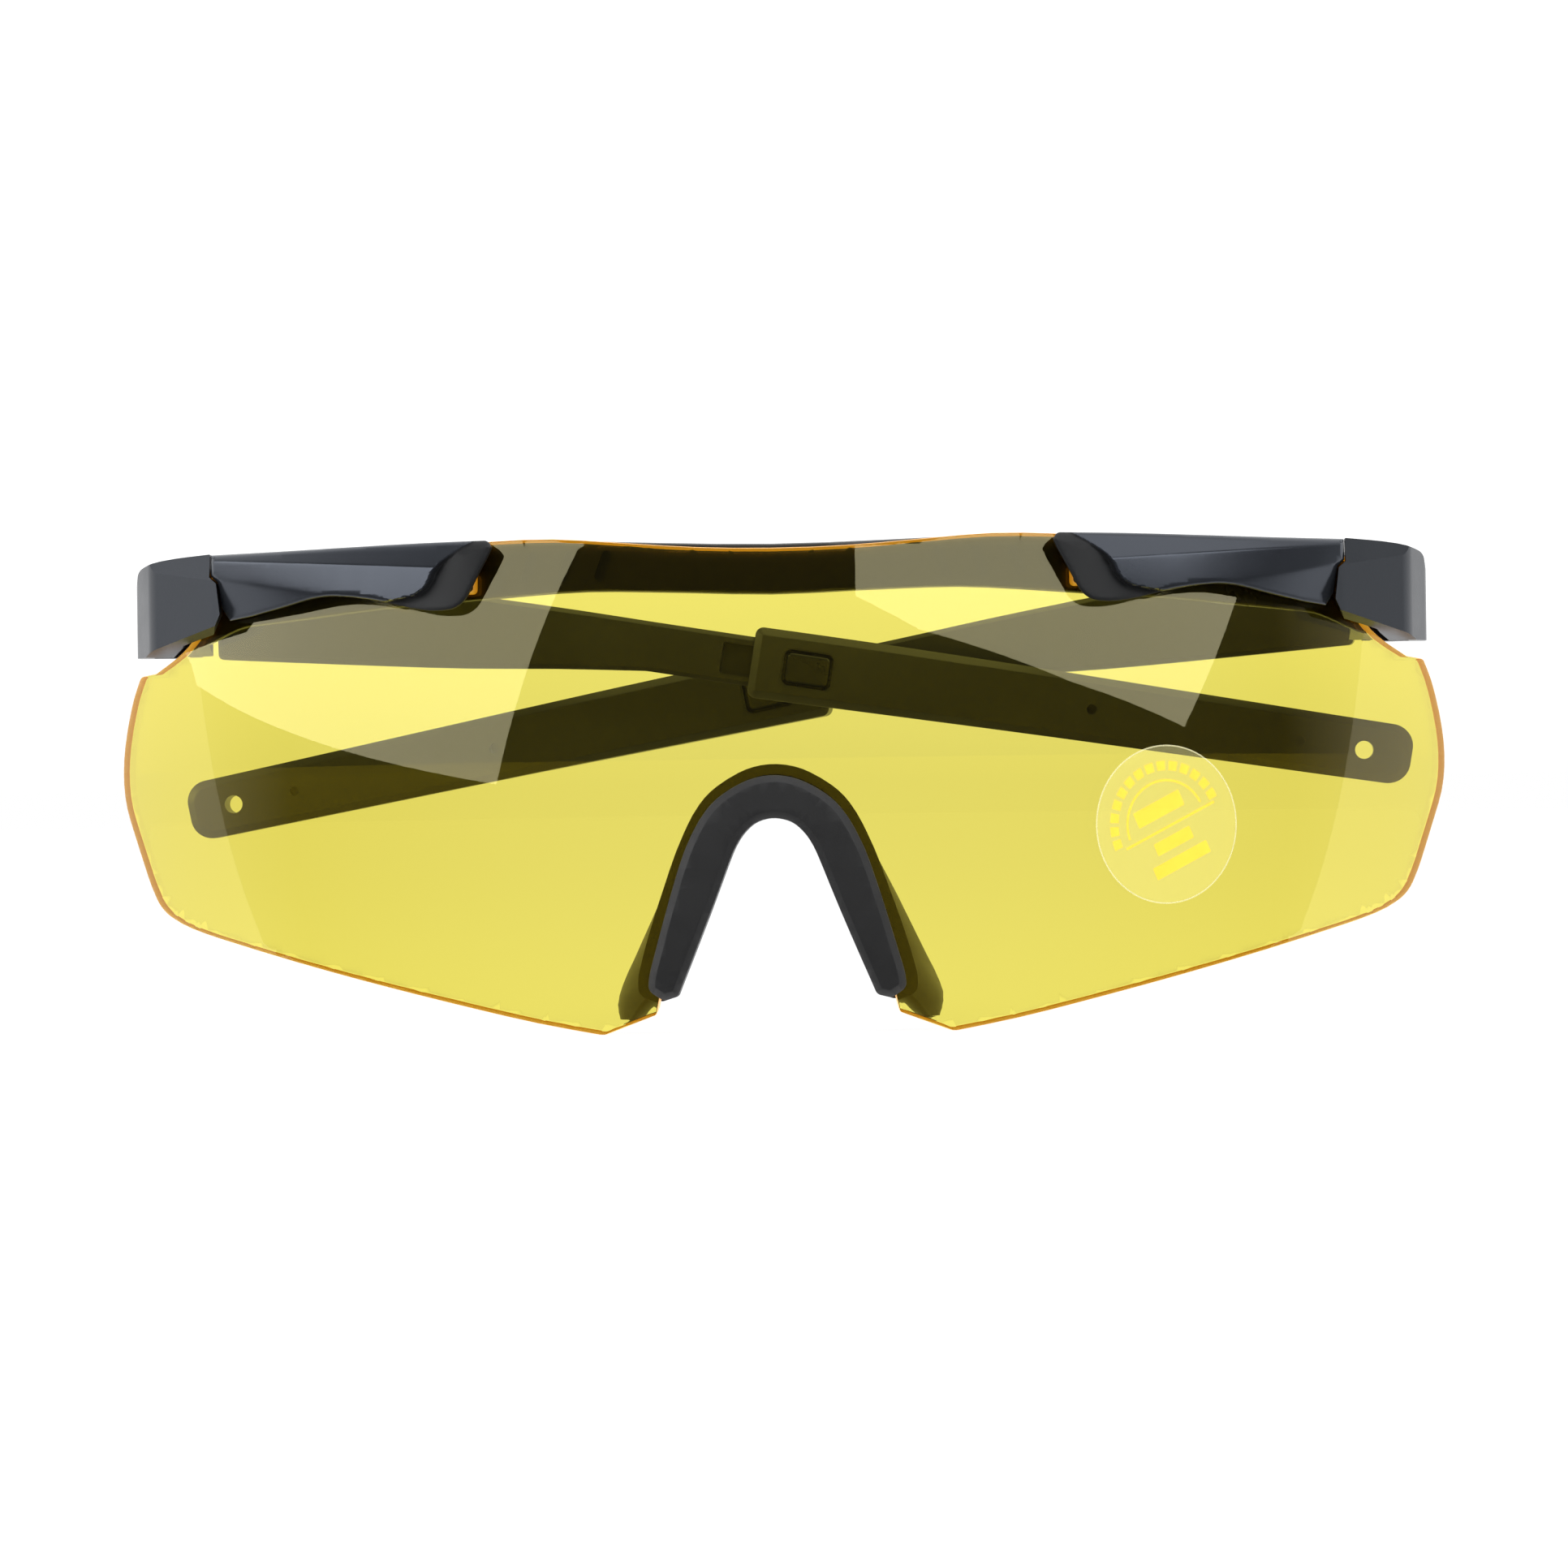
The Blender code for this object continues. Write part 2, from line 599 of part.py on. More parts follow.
def build_pin(side, group):
    """A plain steel hinge pin with chamfered ends, pressed in from below."""
    name = "hinge_pin_" + ("left" if side < 0 else "right")
    foot, head = pin_span()
    rings = []
    for radius, z in ((PIN_R - 0.2, foot), (PIN_R, foot + 0.2), (PIN_R, head - 0.2),
                      (PIN_R - 0.2, head)):
        rings.append([(p.x, p.y, z) for p in circle(0, 0, radius)])
    pin = skin(name, rings, group)
    pin.data.transform(Matrix.Translation((side * PIVOT_X, pivot_y(), 0)))
    return pin


# ---- arms -----------------------------------------------------------------------------
def arm_mid():
    """Offset of the middle of an arm's thickness behind its hinge axis."""
    return ARM_OUTSET - ARM_THICK / 2


def build_arm(group, spare):
    """The left arm about its hinge: X along it when folded, Y away from the lens."""
    droop = math.radians(ARM_DROOP)

    def butt_at(w):
        return (BUTT - w * math.sin(droop)) / math.cos(droop)
    line = [(butt_at(1.3), 1.3, 0.8)] + ARM_LINE + [(butt_at(-8.9), -8.9, 1.2)]
    mid = arm_mid()
    arm = plate("arm_left", round_corners(line), mid - ARM_THICK / 2, mid + ARM_THICK / 2,
                group, 0.45, 0.45)
    slice_mesh(arm, (1, 0, 0), [14, 24, 34, 44, BLADE_FROM, 58])

    def thinner(x, y, z):
        share = min(1.0, max(0.0, (x - 44) / (BLADE_FROM - 44)))
        thick = ARM_THICK + (BLADE_THICK - ARM_THICK) * share
        return x, mid + (y - mid) * thick / ARM_THICK, z
    move_points(arm, thinner)
    near = mid - BLADE_THICK / 2
    first = BUTTON_AT - FLANGE_LONG / 2 - SLIDE - 2 * GROOVE_ROOM
    half_high = FLANGE_HIGH / 2 + GROOVE_ROOM
    groove = plate("groove", rectangle(first, BLADE_TO + 2, BUTTON_LINE - half_high,
                                       BUTTON_LINE + half_high), near - 1, near + GROOVE_DEEP, spare)
    combine(arm, groove, "DIFFERENCE")
    pitch = SLIDE / (NOTCHES - 1)
    for k in range(NOTCHES):
        at = circle(BUTTON_AT + 2.4 - k * pitch, BUTTON_LINE - half_high, NOTCH_R, 10)
        combine(arm, plate("notch", at, near - 1, near + 1.2, spare), "DIFFERENCE")
    arm.data.transform(Matrix.Rotation(droop, 4, "Y"))
    low = -KNUCKLE_DROP - KNUCKLE_HIGH / 2
    high = low + KNUCKLE_HIGH
    inner = mid - ARM_THICK / 2
    web = round_corners([(0, -2.0, 0), (5.0, -2.0, 1.0), (8.0, inner - 0.2, 0), (8.0, inner + 0.9, 0),
                         (4.1, inner + 0.9, 0), (4.1, inner - 0.02, 0), (0, inner - 0.02, 0)])
    combine(arm, post("web", web, low, high, spare), "UNION")
    combine(arm, post("knuckle", circle(0, 0, KNUCKLE_R), low, high, spare), "UNION")
    combine(arm, post("bore", circle(0, 0, BORE_R), low - 1, high + 1, spare), "DIFFERENCE")
    return arm


def build_tip(group, spare):
    """The left tip: a sleeve over the arm's blade, running out to a flat end."""
    mid = arm_mid()
    tip = plate("tip_left", round_corners(TIP_LINE), mid - SLEEVE_THICK / 2,
                mid + SLEEVE_THICK / 2, group, 0.55, 0.55)
    slice_mesh(tip, (1, 0, 0), [76, 88, 94, 100, 107, 114, 121, 128, 133])

    def taper(x, y, z):
        share = min(1.0, max(0.0, (x - 88) / 12))
        thick = SLEEVE_THICK + (TIP_THICK - SLEEVE_THICK) * share
        past = max(0.0, (x - 100) / (TIP_END - 100))
        return x, mid + (y - mid) * thick / SLEEVE_THICK - TIP_SAG * past * past, z
    move_points(tip, taper)
    half = BLADE_THICK / 2 + SLEEVE_SIDE
    inner = mid - SLEEVE_THICK / 2
    for u0, u1, low, top in ((SLEEVE_FROM - 2, SHOULDER_TO + SLIDE + 0.7, SHOULDER_LOW, SHOULDER_TOP),
                             (SLEEVE_FROM, BLADE_TO + SLIDE + 0.6, BLADE_LOW, BLADE_TOP)):
        box = plate("channel", rectangle(u0, u1, low - SLEEVE_ROOM, top + SLEEVE_ROOM),
                    mid - half, mid + half, spare)
        combine(tip, box, "DIFFERENCE")
    long, high = BUTTON_LONG / 2 + WINDOW_PLAY, BUTTON_HIGH / 2 + WINDOW_PLAY
    window = rectangle(BUTTON_AT - long, BUTTON_AT + long, BUTTON_LINE - high, BUTTON_LINE + high, 0.7)
    combine(tip, plate("window", window, inner - 1, mid, spare), "DIFFERENCE")
    for at, radius, depth in ((TIP_END - 5.1, STRAP_HOLE / 2, 12.0), (101.5, 0.55, 2.1)):
        combine(tip, plate("hole", circle(at, 0, radius), inner - 2, inner + depth, spare), "DIFFERENCE")
    floor = mid - TIP_THICK / 2 - 0.1
    combine(tip, plate("dimple", circle(TIP_END - 12.1, 0, 0.5, 12), floor - 2, floor + 0.1, spare),
            "DIFFERENCE")
    return tip


def build_button(group, spare):
    """The left length button about its own middle: Y into the sleeve."""
    inner = arm_mid() - SLEEVE_THICK / 2
    near = arm_mid() - BLADE_THICK / 2
    cap = rectangle(-BUTTON_LONG / 2, BUTTON_LONG / 2, -BUTTON_HIGH / 2, BUTTON_HIGH / 2, 0.5)
    button = plate("length_button_left", cap, inner + 0.1, near - 0.05, group, 0.25, 0.0)
    neck = rectangle(-BUTTON_LONG / 2 + 0.3, BUTTON_LONG / 2 - 0.3, -1.3, 1.3, 0.3)
    combine(button, plate("neck", neck, inner + 0.5, near + 0.3, spare), "UNION")
    flange = rectangle(-FLANGE_LONG / 2, FLANGE_LONG / 2, -FLANGE_HIGH / 2, FLANGE_HIGH / 2, 0.3)
    combine(button, plate("flange", flange, near + 0.1, near + 0.6, spare), "UNION")
    return button


def build_spring(group):
    """The left button spring: a bowed strip between the button and the blade."""
    near = arm_mid() - BLADE_THICK / 2
    high, low = near + 0.7, near + GROOVE_DEEP - 0.1 - SPRING_SHEET
    upper = []
    for k in range(13):
        share = k / 12
        x = -2.6 + 5.2 * share
        y = low - (low - high) * math.sin(math.pi * share)
        upper.append((x, y))
    ring = upper + [(x, y + SPRING_SHEET) for x, y in reversed(upper)]
    rings = [[(x, y, z) for x, y in ring] for z in (-0.8, 0.8)]
    return skin("button_spring_left", rings, group)


def arm_frame(side):
    """Where an arm sits: on its hinge, leaning in its play, folded."""
    fold = -FOLD_LEFT if side < 0 else -FOLD_RIGHT
    place = Matrix.Translation((side * PIVOT_X, pivot_y(), PIVOT_HIGH * HIGH))
    lean = Matrix.Rotation(math.radians(-HINGE_PLAY), 4, "Y")
    turn = Matrix.Rotation(math.radians(fold), 4, "Z")
    return place @ lean @ turn


def droop_frame(side):
    """The arm frame with X running down the middle of the arm."""
    return arm_frame(side) @ Matrix.Rotation(math.radians(-side * ARM_DROOP), 4, "Y")


def settle(group):
    """Millimetres to metres, standing on Z = 0 about X = Y = 0."""
    low = Vector((1e9, 1e9, 1e9))
    high = -low
    for obj in group.objects:
        for vert in obj.data.vertices:
            at = obj.matrix_world @ vert.co
            low = Vector(map(min, low, at))
            high = Vector(map(max, high, at))
    shift = Matrix.Translation((0, -(low.y + high.y) / 2, -low.z))
    scale = Matrix.Diagonal((0.001, 0.001, 0.001, 1))
    for obj in group.objects:
        place = shift @ obj.matrix_world
        obj.data.transform(scale)
        place.translation = place.translation * 0.001
        obj.matrix_world = place


def main():
    """Build every piece."""
    clear_scene()
    group = collection("safety_glasses")
    spare = collection("cutters")
    spare.hide_render = True
    lens_stuff = material("tinted_polycarbonate", (0.92, 0.80, 0.12), 0.05, 0.0, 0.9)
    nylon = material("black_nylon", (0.018, 0.018, 0.019), 0.45)
    rubber = material("black_rubber", (0.03, 0.03, 0.03), 0.75)
    steel = material("bright_steel", (0.62, 0.62, 0.62), 0.3, 1.0)

    dressed = [(build_lens(group, spare), lens_stuff), (build_frame(group, spare), nylon)]
    clip = build_clip(group, spare)
    pad = build_pad(group)
    dressed += [(clip, nylon), (mirrored(clip, "lens_clip_left", group), nylon),
                (build_nose_bridge(group, spare), rubber), (pad, rubber),
                (mirrored(pad, "nose_pad_left", group), rubber),
                (build_pin(-1, group), steel), (build_pin(1, group), steel)]
    arm = build_arm(group, spare)
    tip = build_tip(group, spare)
    button = build_button(group, spare)
    spring = build_spring(group)
    at_button = Matrix.Translation((BUTTON_AT, 0, BUTTON_LINE))
    for obj, stuff, offset in ((arm, nylon, None), (tip, nylon, Matrix.Identity(4)),
                               (button, nylon, at_button), (spring, steel, at_button)):
        other = mirrored(obj, obj.name.replace("left", "right"), group)
        for piece, side in ((obj, -1), (other, 1)):
            if offset is None:
                piece.matrix_world = arm_frame(side)
            else:
                step = Matrix.Translation((-side * offset.translation.x, 0, offset.translation.z))
                piece.matrix_world = droop_frame(side) @ step
            dressed.append((piece, stuff))
    for obj, stuff in dressed:
        obj.data.materials.clear()
        obj.data.materials.append(stuff)
        obj.data.name = obj.name
    bpy.context.view_layer.update()
    settle(group)


main()
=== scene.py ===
import json
import logging
import math
from collections.abc import Callable
from dataclasses import dataclass, field
from enum import Enum

import bmesh
import bpy
from mathutils import Matrix, Vector


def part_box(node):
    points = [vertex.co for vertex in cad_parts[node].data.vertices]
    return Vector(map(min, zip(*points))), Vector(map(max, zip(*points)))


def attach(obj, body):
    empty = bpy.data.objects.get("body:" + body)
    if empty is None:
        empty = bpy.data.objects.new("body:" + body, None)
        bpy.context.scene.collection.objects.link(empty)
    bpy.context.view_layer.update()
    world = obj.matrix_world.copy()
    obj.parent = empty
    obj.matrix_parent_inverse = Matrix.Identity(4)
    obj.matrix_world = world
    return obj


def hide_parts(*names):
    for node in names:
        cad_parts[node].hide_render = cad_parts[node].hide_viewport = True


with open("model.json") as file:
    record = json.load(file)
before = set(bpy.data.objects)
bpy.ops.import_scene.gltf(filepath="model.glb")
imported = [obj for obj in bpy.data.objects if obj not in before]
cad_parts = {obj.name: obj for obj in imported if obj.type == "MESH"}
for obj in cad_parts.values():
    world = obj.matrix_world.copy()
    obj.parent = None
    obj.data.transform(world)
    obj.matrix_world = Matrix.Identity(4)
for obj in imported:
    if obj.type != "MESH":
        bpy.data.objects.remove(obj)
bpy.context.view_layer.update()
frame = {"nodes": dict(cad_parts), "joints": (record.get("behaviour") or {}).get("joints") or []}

LOG = logging.getLogger("safety_glasses")
MM = 0.001
SOFT = -1.0
Loop = list[Vector]
Place = Callable[[float, float, float], Vector]
Points = list[tuple[float, ...]]


class Side(Enum):
    """Which half of the glasses, as seen from the front."""

    LEFT = -1
    RIGHT = 1

    @property
    def word(self) -> str:
        """The side's name."""
        return self.name.lower()


# ---- node helpers ---------------------------------------------------------------------
def linear(code: str, alpha: float = 1.0) -> tuple[float, float, float, float]:
    """Turn an sRGB hex colour into linear light.

    Args:
        code: Six hex digits, with or without a leading hash.
        alpha: Opacity to add as the fourth value.

    Returns:
        Linear red, green, blue and alpha.
    """
    digits = code.lstrip("#")
    shares = [int(digits[i:i + 2], 16) / 255 for i in (0, 2, 4)]
    r, g, b = [s / 12.92 if s <= 0.04045 else ((s + 0.055) / 1.055) ** 2.4 for s in shares]
    return r, g, b, alpha


def add_node(tree: bpy.types.NodeTree, kind: str, settings: dict[str, object] | None = None,
             links: dict[str, bpy.types.NodeSocket] | None = None) -> bpy.types.Node:
    """Add one node to a tree.

    Args:
        tree: The node tree.
        kind: The node's class name.
        settings: Properties of the node, or values of its input sockets, by name.
        links: Output sockets to join to the node's inputs, by input name.

    Returns:
        The new node.
    """
    node = tree.nodes.new(kind)
    for name, value in (settings or {}).items():
        if name in node.inputs:
            node.inputs[name].default_value = value
        else:
            setattr(node, name, value)
    for name, socket in (links or {}).items():
        tree.links.new(socket, node.inputs[name])
    return node


def per_metre(millimetres: float) -> float:
    """Texture scale, per metre, for a pattern that repeats at this size."""
    return 1000.0 / millimetres


# ---- finishes -------------------------------------------------------------------------
class Graph:
    """A material being built: its node tree, its shader and the object's coordinates."""

    def __init__(self, name: str, values: dict[str, object]) -> None:
        """Start a material.

        Args:
            name: The material's name.
            values: The shader's constant inputs, by name.
        """
        self.material = bpy.data.materials.new(name)
        self.material.use_nodes = True
        self.tree = self.material.node_tree
        self.shader = self.tree.nodes["Principled BSDF"]
        for key, value in values.items():
            self.shader.inputs[key].default_value = value
        self.where = add_node(self.tree, "ShaderNodeTexCoord").outputs["Object"]

    def join(self, socket: bpy.types.NodeSocket, name: str) -> None:
        """Link a socket to one of the shader's inputs."""
        self.tree.links.new(socket, self.shader.inputs[name])

    def noise(self, size_mm: float, detail: float, roughness: float = 0.5,
              scale: tuple[float, float, float] | None = None) -> bpy.types.NodeSocket:
        """Add noise in the object's coordinates.

        Args:
            size_mm: Size of its features.
            detail: How many finer layers it has.
            roughness: How strong the finer layers are.
            scale: Stretch along each axis, if any.

        Returns:
            The noise, from 0 to 1.
        """
        where = self.where
        if scale is not None:
            where = add_node(self.tree, "ShaderNodeMapping", {"Scale": scale},
                             {"Vector": where}).outputs["Vector"]
        settings = {"Scale": per_metre(size_mm), "Detail": detail, "Roughness": roughness}
        return add_node(self.tree, "ShaderNodeTexNoise", settings, {"Vector": where}).outputs["Fac"]

    def ranged(self, share: bpy.types.NodeSocket, low: float, high: float, start: float = 0.0,
               stop: float = 1.0) -> bpy.types.NodeSocket:
        """Map a value that runs from start to stop onto low to high."""
        settings = {"From Min": start, "From Max": stop, "To Min": low, "To Max": high}
        return add_node(self.tree, "ShaderNodeMapRange", settings,
                        {"Value": share}).outputs["Result"]

    def colour(self, share: bpy.types.NodeSocket, first: str, second: str) -> None:
        """Vary the base colour between two hex colours."""
        shade = add_node(self.tree, "ShaderNodeMix", {"data_type": "RGBA"})
        shade.inputs[6].default_value = linear(first)
        shade.inputs[7].default_value = linear(second)
        self.tree.links.new(share, shade.inputs[0])
        self.join(shade.outputs[2], "Base Color")

    def gloss(self, share: bpy.types.NodeSocket, low: float, high: float, start: float = 0.0,
              stop: float = 1.0) -> None:
        """Vary the roughness from low to high."""
        self.join(self.ranged(share, low, high, start, stop), "Roughness")

    def bump(self, height: bpy.types.NodeSocket, strength: float, deep_mm: float) -> None:
        """Raise and sink the surface by a pattern."""
        made = add_node(self.tree, "ShaderNodeBump",
                        {"Strength": strength, "Distance": deep_mm * MM}, {"Height": height})
        self.join(made.outputs["Normal"], "Normal")


@dataclass(frozen=True)
class MouldedPlastic:
    """Injection-moulded black nylon, straight from a textured tool.

    The tool's spark-eroded grain scatters light, so the black reads as charcoal wherever it
    faces a lamp, with slightly shinier patches where fingers and the tool have polished it.
    """

    name: str
    colour: str
    rubbed: str
    roughness: float
    spread: float = 0.10
    grain_mm: float = 0.35
    relief_mm: float = 0.012
    flow_mm: float = 9.0
    specular: float = 0.5
    sheen: str = "#ffffff"

    def material(self) -> bpy.types.Material:
        """Build the finish.

        Returns:
            A material with grain, uneven gloss and faint flow marks.
        """
        # nylon's refractive index is 1.53
        # the specular tint colours every reflection: a painted reflection colour, not the nylon's
        # own
        made = Graph(self.name, {"IOR": 1.53, "Specular IOR Level": self.specular,
                                 "Specular Tint": linear(self.sheen)})
        flow = made.noise(self.flow_mm, 4.0, 0.6)
        made.colour(flow, self.colour, self.rubbed)
        made.gloss(flow, self.roughness - self.spread / 2, self.roughness + self.spread / 2,
                   0.3, 0.7)
        # real spark grain is about 0.05 mm; drawn coarser so that it shows
        made.bump(made.noise(self.grain_mm, 3.0, 0.55), 0.55, self.relief_mm)
        return made.material


@dataclass(frozen=True)
class TintedPolycarbonate:
    """Clear polycarbonate tinted yellow in the mass, moulded against a mirror-polished tool.

    The dye eats blue within the 2 mm of the sheet and only a little red and green, so the sheet
    looks lemon yellow face on.
    """

    name: str = "tinted_polycarbonate_polished"
    roughness: float = 0.012
    dye: tuple[float, float, float] = (0.905, 0.85, 0.052)
    density: float = 1050.0
    sheen: str = "#fff6c4"
    wipe_mm: float = 14.0

    def material(self) -> bpy.types.Material:
        """Build the finish.

        Returns:
            A clear refracting material with an absorbing volume.
        """
        # polycarbonate's refractive index is 1.586
        # painted reflection: the warm specular tint colours the lens's reflections, standing in for
        # warm light
        made = Graph(self.name, {"Base Color": (1.0, 1.0, 1.0, 1.0), "Transmission Weight": 1.0,
                                 "IOR": 1.586, "Specular Tint": linear(self.sheen)})
        made.gloss(made.noise(self.wipe_mm, 5.0, 0.7), self.roughness * 0.5,
                   self.roughness * 1.8, 0.45, 0.8)
        soak = add_node(made.tree, "ShaderNodeVolumeAbsorption",
                        {"Color": (*self.dye, 1.0), "Density": self.density})
        made.tree.links.new(soak.outputs["Volume"],
                            made.tree.nodes["Material Output"].inputs["Volume"])
        return made.material


@dataclass(frozen=True)
class UnpolishedEdge:
    """The lens's trimmed edge: a painted orange glow stands in for light piped inside the dyed
    sheet that leaves here.
    """

    name: str = "tinted_polycarbonate_edge"
    colour: str = "#eea84a"
    pale: str = "#f6d29a"
    roughness: float = 0.42
    glow: float = 0.5
    cut_mm: float = 0.5

    def material(self) -> bpy.types.Material:
        """Build the finish.

        Returns:
            A satin material with cutter marks and a painted warm glow.
        """
        # painted glow: the emission lights the edge orange, though it is no lamp
        made = Graph(self.name, {"IOR": 1.586, "Emission Color": linear(self.colour),
                                 "Emission Strength": self.glow})
        marks = made.noise(self.cut_mm, 3.0)
        made.colour(marks, self.colour, self.pale)
        made.gloss(marks, self.roughness - 0.12, self.roughness + 0.12)
        return made.material


@dataclass(frozen=True)
class SoftRubber:
    """Moulded thermoplastic rubber: matte, very fine-grained, with a dusty bloom."""

    name: str = "soft_rubber_matte"
    colour: str = "#151516"
    worn: str = "#1d1d1e"
    roughness: float = 0.62
    grain_mm: float = 0.28
    bloom_mm: float = 4.0

    def material(self) -> bpy.types.Material:
        """Build the finish.

        Returns:
            A matte material with fine grain and mottled bloom.
        """
        made = Graph(self.name, {"IOR": 1.5, "Sheen Weight": 0.10, "Sheen Roughness": 0.5})
        bloom = made.noise(self.bloom_mm, 4.0, 0.65)
        made.colour(bloom, self.colour, self.worn)
        made.gloss(bloom, self.roughness - 0.07, self.roughness + 0.08, 0.3, 0.7)
        # the real skin is finer than 0.1 mm; drawn coarser so that it shows
        made.bump(made.noise(self.grain_mm, 2.0), 0.5, 0.02)
        return made.material


@dataclass(frozen=True)
class DrawnSteel:
    """Drawn stainless wire and strip: bright metal with faint lines along the draw."""

    name: str = "drawn_steel"
    colour: str = "#b9b9b6"
    dull: str = "#8f8f8c"
    roughness: float = 0.28
    line_mm: float = 0.12

    def material(self) -> bpy.types.Material:
        """Build the finish.

        Returns:
            A metal with fine drawn lines.
        """
        made = Graph(self.name, {"Metallic": 1.0})
        lines = made.noise(self.line_mm, 3.0, scale=(1.0, 1.0, 0.08))
        made.colour(lines, self.dull, self.colour)
        made.gloss(lines, self.roughness - 0.06, self.roughness + 0.08)
        return made.material


@dataclass(frozen=True)
class CastFilm:
    """Thin clear vinyl film, printed or plain: glossy, with a slight haze from its glue."""

    name: str
    colour: str
    opacity: float
    roughness: float = 0.22
    mottle: float = 0.06
    glow: float = 0.0
    glue_mm: float = 1.2

    def material(self) -> bpy.types.Material:
        """Build the finish.

        Returns:
            A partly see-through material with a mottled tint.
        """
        # a glow above zero is painted light: the film then glows though it is no lamp
        made = Graph(self.name, {"Roughness": self.roughness, "Alpha": self.opacity,
                                 "Emission Color": linear(self.colour),
                                 "Emission Strength": self.glow})
        value = made.ranged(made.noise(self.glue_mm, 3.0), 1.0 - self.mottle, 1.0 + self.mottle)
        tint = add_node(made.tree, "ShaderNodeHueSaturation", {"Color": linear(self.colour)},
                        {"Value": value})
        made.join(tint.outputs["Color"], "Base Color")
        return made.material


# ---- outlines -------------------------------------------------------------------------
def soften(points: Points, arc: float = 0.12) -> Loop:
    """Turn corner points into a smooth closed loop.

    Args:
        points: (a, b) for a point the outline flows past, or (a, b, radius) for a corner.
        arc: Angle of each step round a bend, in radians.

    Returns:
        The loop's points in order.
    """
    loop: Loop = []
    count = len(points)
    for i, entry in enumerate(points):
        here = Vector(entry[:2])
        radius = entry[2] if len(entry) > 2 else SOFT
        back = Vector(points[i - 1][:2]) - here
        on = Vector(points[(i + 1) % count][:2]) - here
        back_len, on_len = back.length, on.length
        if radius == 0 or min(back_len, on_len) < 1e-6:
            loop.append(here)
            continue
        back.normalize()
        on.normalize()
        half = back.angle(on) / 2
        if half > 1.5682:
            loop.append(here)
            continue
        most = 0.49 * min(back_len, on_len)
        reach = most if radius < 0 else min(radius / math.tan(half), most)
        bend = reach * math.tan(half)
        centre = here + (back + on).normalized() * (bend / math.sin(half))
        start = here + back * reach - centre
        stop = here + on * reach - centre
        sweep = math.pi - 2 * half
        side = 1 if start.cross(stop) > 0 else -1
        steps = max(2, int(math.ceil(sweep / arc)))
        for k in range(steps + 1):
            turn = side * sweep * k / steps
            loop.append(centre + Vector((start.x * math.cos(turn) - start.y * math.sin(turn),
                                         start.x * math.sin(turn) + start.y * math.cos(turn))))
    return tidy_loop(loop)


def tidy_loop(loop: Loop, closest: float = 0.02) -> Loop:
    """Drop points that crowd the one before them."""
    kept: Loop = []
    for point in loop:
        if not kept or (point - kept[-1]).length > closest:
            kept.append(point)
    if (kept[0] - kept[-1]).length < closest:
        kept.pop()
    return kept


def whole(half: Points) -> Points:
    """Mirror a half outline about a = 0, its first and last points lying on that line."""
    other = [(-p[0], *p[1:]) for p in reversed(half) if p[0] > 0]
    return half + other


def flipped(loop: Loop, side: Side) -> Loop:
    """The loop on one side of a = 0."""
    return [Vector((side.value * p.x, p.y)) for p in loop]


def signed_area(loop: Loop) -> float:
    """Twice the loop's area, positive when it runs anticlockwise."""
    return sum(p.cross(loop[(i + 1) % len(loop)]) for i, p in enumerate(loop))


def grown(loop: Loop, amount: float) -> Loop:
    """Move a loop outward, square to its edges.

    Args:
        loop: The loop.
        amount: Distance outward; negative goes inward.

    Returns:
        A loop with as many points.
    """
    if amount == 0:
        return [p.copy() for p in loop]
    sign = 1 if signed_area(loop) > 0 else -1
    out: Loop = []
    for i, point in enumerate(loop):
        before = (point - loop[i - 1]).normalized()
        after = (loop[(i + 1) % len(loop)] - point).normalized()
        first = Vector((before.y, -before.x)) * sign
        second = Vector((after.y, -after.x)) * sign
        both = (first + second).normalized()
        out.append(point + both * (amount / max(0.5, both.dot(first))))
    return out


def rounded_box(a0: float, a1: float, b0: float, b1: float, radius: float) -> Loop:
    """A rectangle with rounded corners."""
    return soften([(a0, b0, radius), (a1, b0, radius), (a1, b1, radius), (a0, b1, radius)])


def disc(a: float, b: float, radius: float, count: int = 48) -> Loop:
    """A circle's points."""
    return [Vector((a + radius * math.cos(2 * math.pi * k / count),
                    b + radius * math.sin(2 * math.pi * k / count))) for k in range(count)]


def round_rim(radius: float, depth: float, steps: int = 4) -> list[tuple[float, float]]:
    """Inset and depth pairs that round an edge.

    Args:
        radius: How far the rounding reaches across the face.
        depth: How far it reaches down the side.
        steps: Number of facets.

    Returns:
        Pairs from the face to the side.
    """
    turns = [math.pi / 2 * k / steps for k in range(steps + 1)]
    return [(radius * (1 - math.sin(t)), depth * (1 - math.cos(t))) for t in turns]


# ---- meshes ---------------------------------------------------------------------------
def link_mesh(name: str, bm: bmesh.types.BMesh) -> bpy.types.Object:
    """Make an object from a bmesh and free the bmesh."""
    bmesh.ops.recalc_face_normals(bm, faces=bm.faces)
    mesh = bpy.data.meshes.new(name)
    bm.to_mesh(mesh)
    bm.free()
    made = bpy.data.objects.new(name, mesh)
    bpy.context.scene.collection.objects.link(made)
    return made


def skinned(name: str, rings: list[list[tuple[float, float, float]]]) -> bpy.types.Object:
    """Close a solid through rings of points.

    Args:
        name: The object's name.
        rings: Rings with the same number of points each.

    Returns:
        The capped solid.
    """
    bm = bmesh.new()
    rows = [[bm.verts.new(p) for p in ring] for ring in rings]
    for first, second in zip(rows, rows[1:]):
        for i in range(len(first)):
            j = (i + 1) % len(first)
            bm.faces.new((first[i], first[j], second[j], second[i]))
    bm.faces.new(rows[0])
    bm.faces.new(rows[-1])
    return link_mesh(name, bm)


